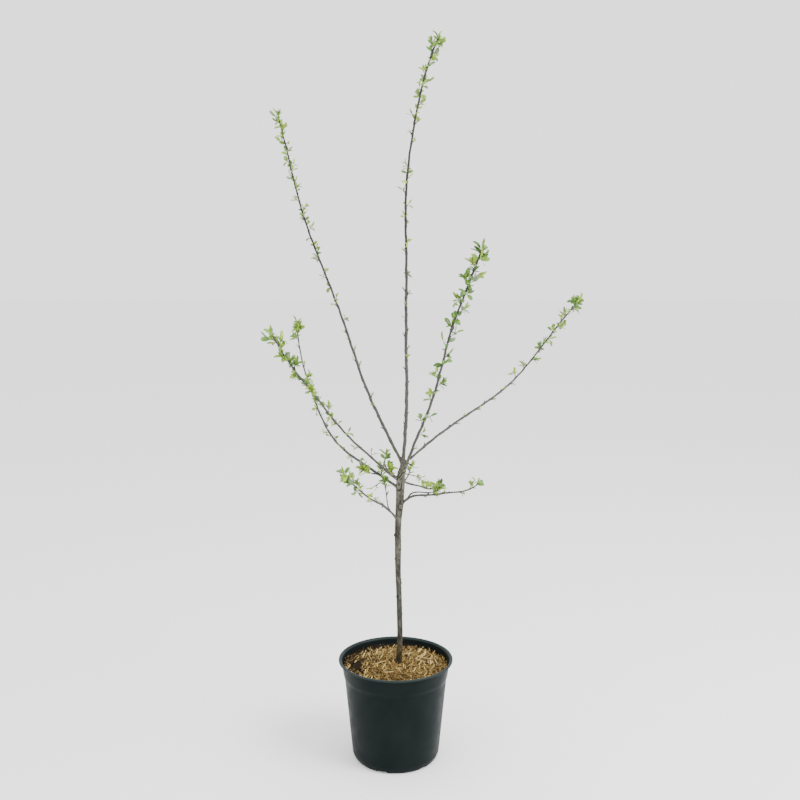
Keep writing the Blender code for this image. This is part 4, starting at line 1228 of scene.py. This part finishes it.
def bud_shares(limb):
    """Seeded places of resting buds: along the bare stretch and the gap in the leaves."""
    found = []
    for start, end in ((0.05, max(limb.leafy_from, limb.bare)), limb.empty):
        if end > 1:
            continue
        count = int(limb_length(limb, start, end) / (limb.spur_gap * 1.05))
        for k in range(count):
            chance = Random(f"{limb.name} bud {start} {k}")
            found.append((k, start + (end - start) * (k + chance.uniform(0.15, 0.85)) / count, chance))
    return found


def stem_parts(limb, first, last, sides, step, foot_ease=False):
    """A stretch of stem, its rings swollen at each node, and its foot thinned to start inside another piece."""
    length = limb_length(limb, first, last)
    rings = max(int(length / step), 4)
    whole = limb_length(limb, 0, 1)
    nodes_at = [found[1] for found in node_shares(limb, max(limb.leafy_from, limb.bare), 1)]
    nodes_at += [found[1] for found in bud_shares(limb)]
    points, radii = [], []
    for i in range(rings + 1):
        share = first + (last - first) * i / rings
        point = limb_point(limb, share)
        radius = limb_radius(limb, share) * BARK_SWELL
        nearest = min((abs(share - at) for at in nodes_at), default=1) * whole
        radius *= 1 + NODE_SWELLING * 2 * exp(-((nearest / 0.0032) ** 2))
        radius *= 1 + 0.05 * noise.noise(point * 160)
        if foot_ease:
            radius *= 1 - 0.2 * exp(-(share - first) * whole / 0.006)
        drift = Vector((noise.noise(point * 45), noise.noise(point * 45 + Vector((7, 0, 0))), 0)) * 0.0013
        points.append(point + drift * min(share * whole / 0.03, 1.0))
        radii.append(radius)
    if last == 1:
        radii[-1] *= 0.55
    return tube_parts(points, radii, sides)


bough_wood = Heap()
for limb in LIMBS:
    if limb.bare:
        foot = 0.022 / limb_length(limb, 0, 1)
        bough_wood.add(*stem_parts(limb, foot, limb.bare + 0.002, 14, BOUGH_STEP, True))
boughs = new_object("bough_relief", bough_wood.mesh("bough_relief"))
shaded(boughs, 60)
bark_relief(boughs.data, 0.00016, 0.5)
boughs.data.materials.append(bark)
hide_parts(*[limb.name + "_bough" for limb in LIMBS if limb.bare])
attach(boughs, "root")

# Twigs
# The leafy ends of the boughs and the short shoots from the trunk: dark, slender stems with a
# short spur at each node, small pointed buds where no leaf has opened, and thin leaf stalks.
SPUR_THICKNESS = 0.0017
BUD_SPUR_THICKNESS = 0.0036
BUD_LEAF = 0.0105
GOLDEN_ANGLE = radians(137.5)
STALK_THICKNESS = 0.00070
STALK_SHARE = 0.13
MORE_LEAVES = {
    # leaves added to each spur as a share of its own, at six even steps from the foot of the leafy stretch to its tip
    "leader": (5.0, 0.3, 0.4, 0.8, 0.4, 0.3),
    "upper_left": (0.0, 3.6, 1.2, 0.7, 0.5, 0.6),
    "upper_right": (1.0, 3.0, 0.0, 1.3, 0.9, 0.2),
    "right": (5.0, 4.2, 0.7, 0.5, 1.0, 1.7),
    "mid_left": (0.2, 0.2, 4.6, 2.8, 3.2, 0.0),
    "low_left": (1.2, 0.9, 0.3, 1.4, 3.4, 2.1),
    "low_right": (0.8, 0.8, 0.8, 0.8, 0.8, 0.6),
    "right_short": (4.0, 3.4, 3.0, 2.4, 1.2, 0.2),
    "lowest_left": (0.0, 0.0, 0.0, 2.0, 0.6, 0.0),
    "inner_left": (0.2, 0.0, 0.0, 0.0, 0.2, 0.1),
    "inner_left_side": (2.0,) * 6,
    "low_left_drooping": (0.0,) * 6,
    "low_left_inner": (2.6,) * 6,
    "low_left_tuft": (1.6,) * 6,
    "lowest_left_side": (4.0,) * 6,
    "right_thin": (1.4,) * 6,
    "right_upturned": (1.8,) * 6,
}
SPRAY_AGES = {"upper_right": (1, 3, 6, 3)}
SOME_AGES = (3, 5, 4, 0)
SOME_MORE_LEAVES = (0.6,) * 6
FEWEST_FOR_SMALL_SPUR = 0.3
TIP_SPREAD = 0.018
BETWEEN_FROM = 0.22
LEAF_REACH = 0.060
LEAF_CLEARANCE = 0.0008
LEAF_WIDTH = 0.50


class Line:
    """A limb's centre line with its radii, to measure how far a place is from its bark."""

    def __init__(self, name, points, radii):
        self.name = name
        self.starts = np.array([tuple(point) for point in points[:-1]])
        self.steps = np.array([tuple(point) for point in points[1:]]) - self.starts
        self.radii = np.array(radii[:-1])

    def distance(self, place):
        """From the place to the bark, and to the centre line."""
        away = np.array(tuple(place)) - self.starts
        along = np.clip((away * self.steps).sum(1) / (self.steps**2).sum(1), 0, 1)[:, None]
        reach = np.linalg.norm(away - self.steps * along, axis=1)
        return (reach - self.radii).min(), reach.min()


limb_lines, stem_lines = [], []
limb_lines.append(Line("trunk", [trunk_axis(h) for h in heights[::6]], [trunk_radius(h) for h in heights[::6]]))
for limb in LIMBS + SIDE_SHOOTS:
    for lines, first, last in ((limb_lines, 0, limb.bare), (stem_lines, limb.bare, 1)):
        if last > first:
            count = max(int(limb_length(limb, first, last) / 0.02), 2)
            shares = [first + (last - first) * i / count for i in range(count + 1)]
            lines.append(Line(limb.name, [limb_point(limb, s) for s in shares], [limb_radius(limb, s) for s in shares]))


def keeps_to_own_space(places, breadth, own):
    """Whether places along a leaf stay by their own stem and clear of every limb."""
    for place in places:
        nearest = min(line.distance(place)[1] for line in stem_lines if line.name in own)
        if nearest > LEAF_REACH:
            return False
        if any(line.distance(place)[0] < breadth + LEAF_CLEARANCE for line in limb_lines):
            return False
    return True


def rosette(chance, foot, along, side, spur, number, size):
    """The leaves of one spur, opening outwards from its tip, the outer ones lowest."""
    across = along.cross(side).normalized()
    side = across.cross(along).normalized()
    turn = chance.uniform(0, 2 * pi)
    for i in range(number):
        inner = i / max(number - 1, 1)
        opening = radians(72 - 48 * inner + chance.uniform(-12, 12))
        round_it = turn + i * GOLDEN_ANGLE + chance.uniform(-0.35, 0.35)
        outward = side * cos(round_it) + across * sin(round_it)
        direction = along * cos(opening) + outward * sin(opening)
        direction = (direction + Vector((0, 0, chance.uniform(0.05, 0.40)))).normalized()
        face = along - direction * along.dot(direction)
        if face.length < 0.05:
            face = outward - direction * outward.dot(direction)
        face = Matrix.Rotation(chance.uniform(-0.5, 0.5), 3, direction) @ face.normalized()
        root = foot + along * spur * (0.62 + 0.34 * inner)
        yield root, direction, face, size * chance.uniform(0.72, 1.18), inner


def spur_frame(limb, k, share, chance, lean):
    """Where a spur stands on its limb: its foot, its direction and a direction across it."""
    ahead = limb_point(limb, min(share + 0.01, 1)) - limb_point(limb, min(share, 0.99))
    ahead.normalize()
    side = ahead.orthogonal().normalized()
    side = Matrix.Rotation(k * GOLDEN_ANGLE + chance.uniform(-0.5, 0.5), 3, ahead) @ side
    lean = lean(chance) if callable(lean) else lean
    along = (ahead * cos(lean) + side * sin(lean)).normalized()
    return limb_point(limb, share), along, side


def spur_lean(chance):
    return radians(chance.uniform(34, 56))


def more_at(limb, part):
    """The share of leaves added at a part of the leafy stretch, from 0 at its foot to 1 at its tip."""
    return float(np.interp(part, (0, 0.2, 0.4, 0.6, 0.8, 1), MORE_LEAVES.get(limb.name, SOME_MORE_LEAVES)))


def spurs_of(limb, first, last):
    """Each spur on a stretch of a limb by the seeded rule: foot, direction, length and leaves."""
    for k, share, part, at_tip, chance in node_shares(limb, first, last):
        foot, along, side = spur_frame(limb, k, share, chance, 0.0 if at_tip else spur_lean)
        spur = 0.004 if at_tip else limb.spur * chance.uniform(0.7, 1.4)
        if not at_tip:
            spur += limb_radius(limb, share)
        growth = part**1.3
        number = limb.few_leaves + (limb.many_leaves - limb.few_leaves) * growth
        number = int(round(number + chance.uniform(-0.7, 0.7))) + (1 if at_tip else 0)
        size = limb.small_leaf + (limb.large_leaf - limb.small_leaf) * growth
        leaves = list(rosette(chance, foot, along, side, spur, max(number, 1), size))
        more = Random(f"{limb.name} more {k}")
        extra = int(round(more_at(limb, part) * max(number, 1) + more.uniform(-0.5, 0.5)))
        for root, direction, face, length, inner in rosette(more, foot, along, side, spur, extra, size):
            root -= along * more.uniform(0, TIP_SPREAD if at_tip else 0)
            leaves.append((root, direction, face, length * more.uniform(0.72, 1.0), 0.4 + 0.6 * inner))
        yield foot, along, spur, leaves, more


def small_spurs_of(limb, first, last):
    """Weaker spurs midway between the others, where the shoot is leafy enough to have them."""
    found = node_shares(limb, first, last)
    for (k, share, part, _, _), (_, above, part_above, _, _) in zip(found, found[1:]):
        chance = Random(f"{limb.name} between {k}")
        growth = ((part + part_above) / 2) ** 1.3
        if part < BETWEEN_FROM or part_above - part > 2.2 / len(found) + 0.06 or chance.random() > 0.35 + 1.2 * growth:
            continue
        if more_at(limb, (part + part_above) / 2) < FEWEST_FOR_SMALL_SPUR:
            continue
        middle = share + (above - share) * chance.uniform(0.35, 0.65)
        foot, along, side = spur_frame(limb, k + 0.5, middle, chance, spur_lean)
        spur = limb_radius(limb, middle) + limb.spur * chance.uniform(0.3, 0.7)
        size = (limb.small_leaf + (limb.large_leaf - limb.small_leaf) * growth) * chance.uniform(0.7, 1.0)
        number = int(round(2 + 3 * growth + chance.uniform(-0.6, 0.6)))
        yield foot, along, spur, list(rosette(chance, foot, along, side, spur, number, size)), chance


LEAF_SHAPE = (
    # share of the length, share of the width
    (0.00, 0.10),
    (0.11, 0.47),
    (0.29, 0.88),
    (0.52, 1.00),
    (0.74, 0.91),
    (0.90, 0.58),
)


def leaf_parts(root, direction, face, length, width, fold, curl, wave):
    """A leaf blade: two sides that meet in a thin edge, folded along its rib and bent along its length."""
    across = face.cross(direction).normalized()
    points, faces = [], []
    thickness = max(length * 0.011, 0.00014)
    for i, (share, breadth) in enumerate(LEAF_SHAPE):
        centre = root + direction * length * (share - curl**2 * share**3 / 6) - face * (length * curl * share**2 / 2)
        half = width * length * breadth / 2
        sway = wave * half * sin(share * 7)
        points.append(centre + across * half * cos(fold) + face * (half * sin(fold) + sway))
        points.append(centre + face * thickness)
        points.append(centre - across * half * cos(fold) + face * (half * sin(fold) - sway))
        points.append(centre - face * thickness)
    points.append(root + direction * length * (1 - curl**2 / 6) - face * (length * curl / 2))
    last = len(LEAF_SHAPE) - 1
    for i in range(last):
        for j in range(4):
            a, b = 4 * i + j, 4 * i + (j + 1) % 4
            faces.append((a, b, b + 4, a + 4))
    for j in range(4):
        faces.append((4 * last + j, 4 * last + (j + 1) % 4, 4 * last + 4))
    faces.append((3, 2, 1, 0))
    return points, faces


LEAF_COLORS = {
    "leaves_bright": (0.262, 0.382, 0.050),
    "leaves_fresh": (0.178, 0.303, 0.045),
    "leaves_green": (0.106, 0.212, 0.040),
    "leaves_deep": (0.062, 0.130, 0.034),
    "leaves_silver": (0.160, 0.235, 0.108),
}
blades = {name: Heap() for name in LEAF_COLORS}
twig_wood, stalks, buds = Heap(), Heap(), Heap()


def grow_leaf(chance, root, direction, face, length, inner, spray, own):
    """Adds one leaf and its stalk, unless it would leave its space or touch a limb.

    Its colour is the spray's place in the list of leaf colours, or the one before it while it is young.
    """
    reach = [root + direction * length * part for part in (0.3, 0.55, 0.8, 1)]
    if own and not keeps_to_own_space(reach, length * LEAF_WIDTH * 0.35, own):
        return
    young = inner > 0.72
    stalk = length * (0.08 if young else STALK_SHARE)
    base = root + direction * stalk
    stalks.add(*tube_parts(
        [root, (root + base) / 2 + face * stalk * 0.06, base + direction * 0.0006],
        [STALK_THICKNESS, STALK_THICKNESS * 0.8, STALK_THICKNESS * 0.7], 3,
    ))
    fold = radians(chance.uniform(30, 58) if young else chance.uniform(6, 30))
    width = chance.uniform(0.34, 0.48) if young else chance.uniform(0.44, 0.60)
    curl = chance.uniform(-0.3, 0.4) if young else chance.uniform(0.0, 1.0)
    tone = max(spray - 1, 0) if young else spray + (chance.random() < 0.18)
    if chance.random() < 0.12:
        tone = len(blades) - 1
    list(blades.values())[tone].add(*leaf_parts(base, direction, face, length - stalk, width, fold, curl, chance.uniform(-0.12, 0.12)))


def grow_spur(foot, along, length, thickness):
    """Adds the short woody spur that carries a cluster of leaves."""
    rings = [foot + along * length * part for part in (0, 0.35, 0.7, 0.85, 1)]
    widths = [thickness * part for part in (0.60, 0.48, 0.42, 0.55, 0.30)]
    twig_wood.add(*tube_parts(rings, widths, 6))


def grow_bud(limb, k, share, chance):
    """Adds a resting bud on its short foot, often with a few leaf tips just breaking from it."""
    foot, along, side = spur_frame(limb, k, share, chance, radians(chance.uniform(26, 44)))
    out = limb_radius(limb, share) + chance.uniform(0.0036, 0.0068)
    grow_spur(foot, along, out, BUD_SPUR_THICKNESS)
    size = chance.uniform(0.0019, 0.0028)
    tip = foot + along * out
    turn = along.to_track_quat("Z", "X").to_matrix().to_4x4()
    buds.add(*ball_parts(tip + along * size * 0.7, turn, (size * 0.52, size * 0.52, size), 6, 4))
    opened = share / max(limb.leafy_from, limb.bare, share) if share * limb_length(limb, 0, 1) > 0.07 else 0
    if chance.random() < opened:
        number = chance.choice((3, 3, 4))
        spray = chance.choice((0, 1))
        for root, direction, face, length, _ in rosette(chance, tip, along, side, 0.001, number, BUD_LEAF):
            grow_leaf(chance, root, direction, face, length, 1.0, spray, None)


for limb in LIMBS + SIDE_SHOOTS:
    start = limb.bare
    twig_wood.add(*stem_parts(limb, start, 1, 9 if limb in LIMBS else 7, TWIG_STEP))
    own = {limb.name, limb.springs_from}
    leafy = max(limb.leafy_from, start)
    for rule, thickness in ((spurs_of, SPUR_THICKNESS), (small_spurs_of, SPUR_THICKNESS * 0.8)):
        for foot, along, spur, leaves, chance in rule(limb, leafy, 1):
            grow_spur(foot, along, spur, thickness)
            spray = chance.choices((0, 1, 2, 3), SPRAY_AGES.get(limb.name, SOME_AGES))[0]
            for root, direction, face, length, inner in leaves:
                grow_leaf(chance, root, direction, face, length, inner, spray, own)
    for k, share, chance in bud_shares(limb):
        if share * limb_length(limb, 0, 1) > 0.03:
            grow_bud(limb, k, share, chance)

twigs = new_object("twigs", twig_wood.mesh("twigs"))
shaded(twigs, 50)
bark_relief(twigs.data, 0.00005, 0.5)
twigs.data.materials.append(bark)
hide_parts(*[limb.name + "_foliage" for limb in LIMBS])
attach(twigs, "root")

bud_finish, shader, nodes, links = plain_finish("bud_scales", (0.058, 0.030, 0.021), 0.55, 0.15)
raised(nodes, links, shader, [(pattern(nodes, links, "Noise", 1200, 3), 1.0)], 0.0003)
stalk_finish, shader, nodes, links = plain_finish("leaf_stalks", (0.170, 0.230, 0.040), 0.5, 0.2)
for piece_name, heap, finish in (("buds", buds, bud_finish), ("leaf_stalks", stalks, stalk_finish)):
    piece = new_object(piece_name, heap.mesh(piece_name))
    piece.data.shade_smooth()
    piece.data.materials.append(finish)
    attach(piece, "root")

# Leaves
# Soft spring leaves, pointed and slightly folded along the rib, yellow-green while they open
# and greener with age. Each colour is one joined piece, dealt out spray by spray.
for piece_name, color in LEAF_COLORS.items():
    leaves = new_object(piece_name, blades[piece_name].mesh(piece_name))
    shaded(leaves, 40)
    finish, shader, nodes, links = plain_finish(piece_name, color, 0.50, 0.2)
    shade, tint = tuple(c * 0.72 for c in color), tuple(min(c * 1.22, 1) for c in color)
    links.new(
        ramp(nodes, links, pattern(nodes, links, "Noise", 130, 3), [(0.32, shade), (0.50, color), (0.70, tint)]),
        shader.inputs["Base Color"],
    )
    raised(nodes, links, shader, [(pattern(nodes, links, "Noise", 700, 3), 1.0)], 0.0003, 0.5)
    leaves.data.materials.append(finish)
    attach(leaves, "root")

bpy.data.objects.remove(ground)
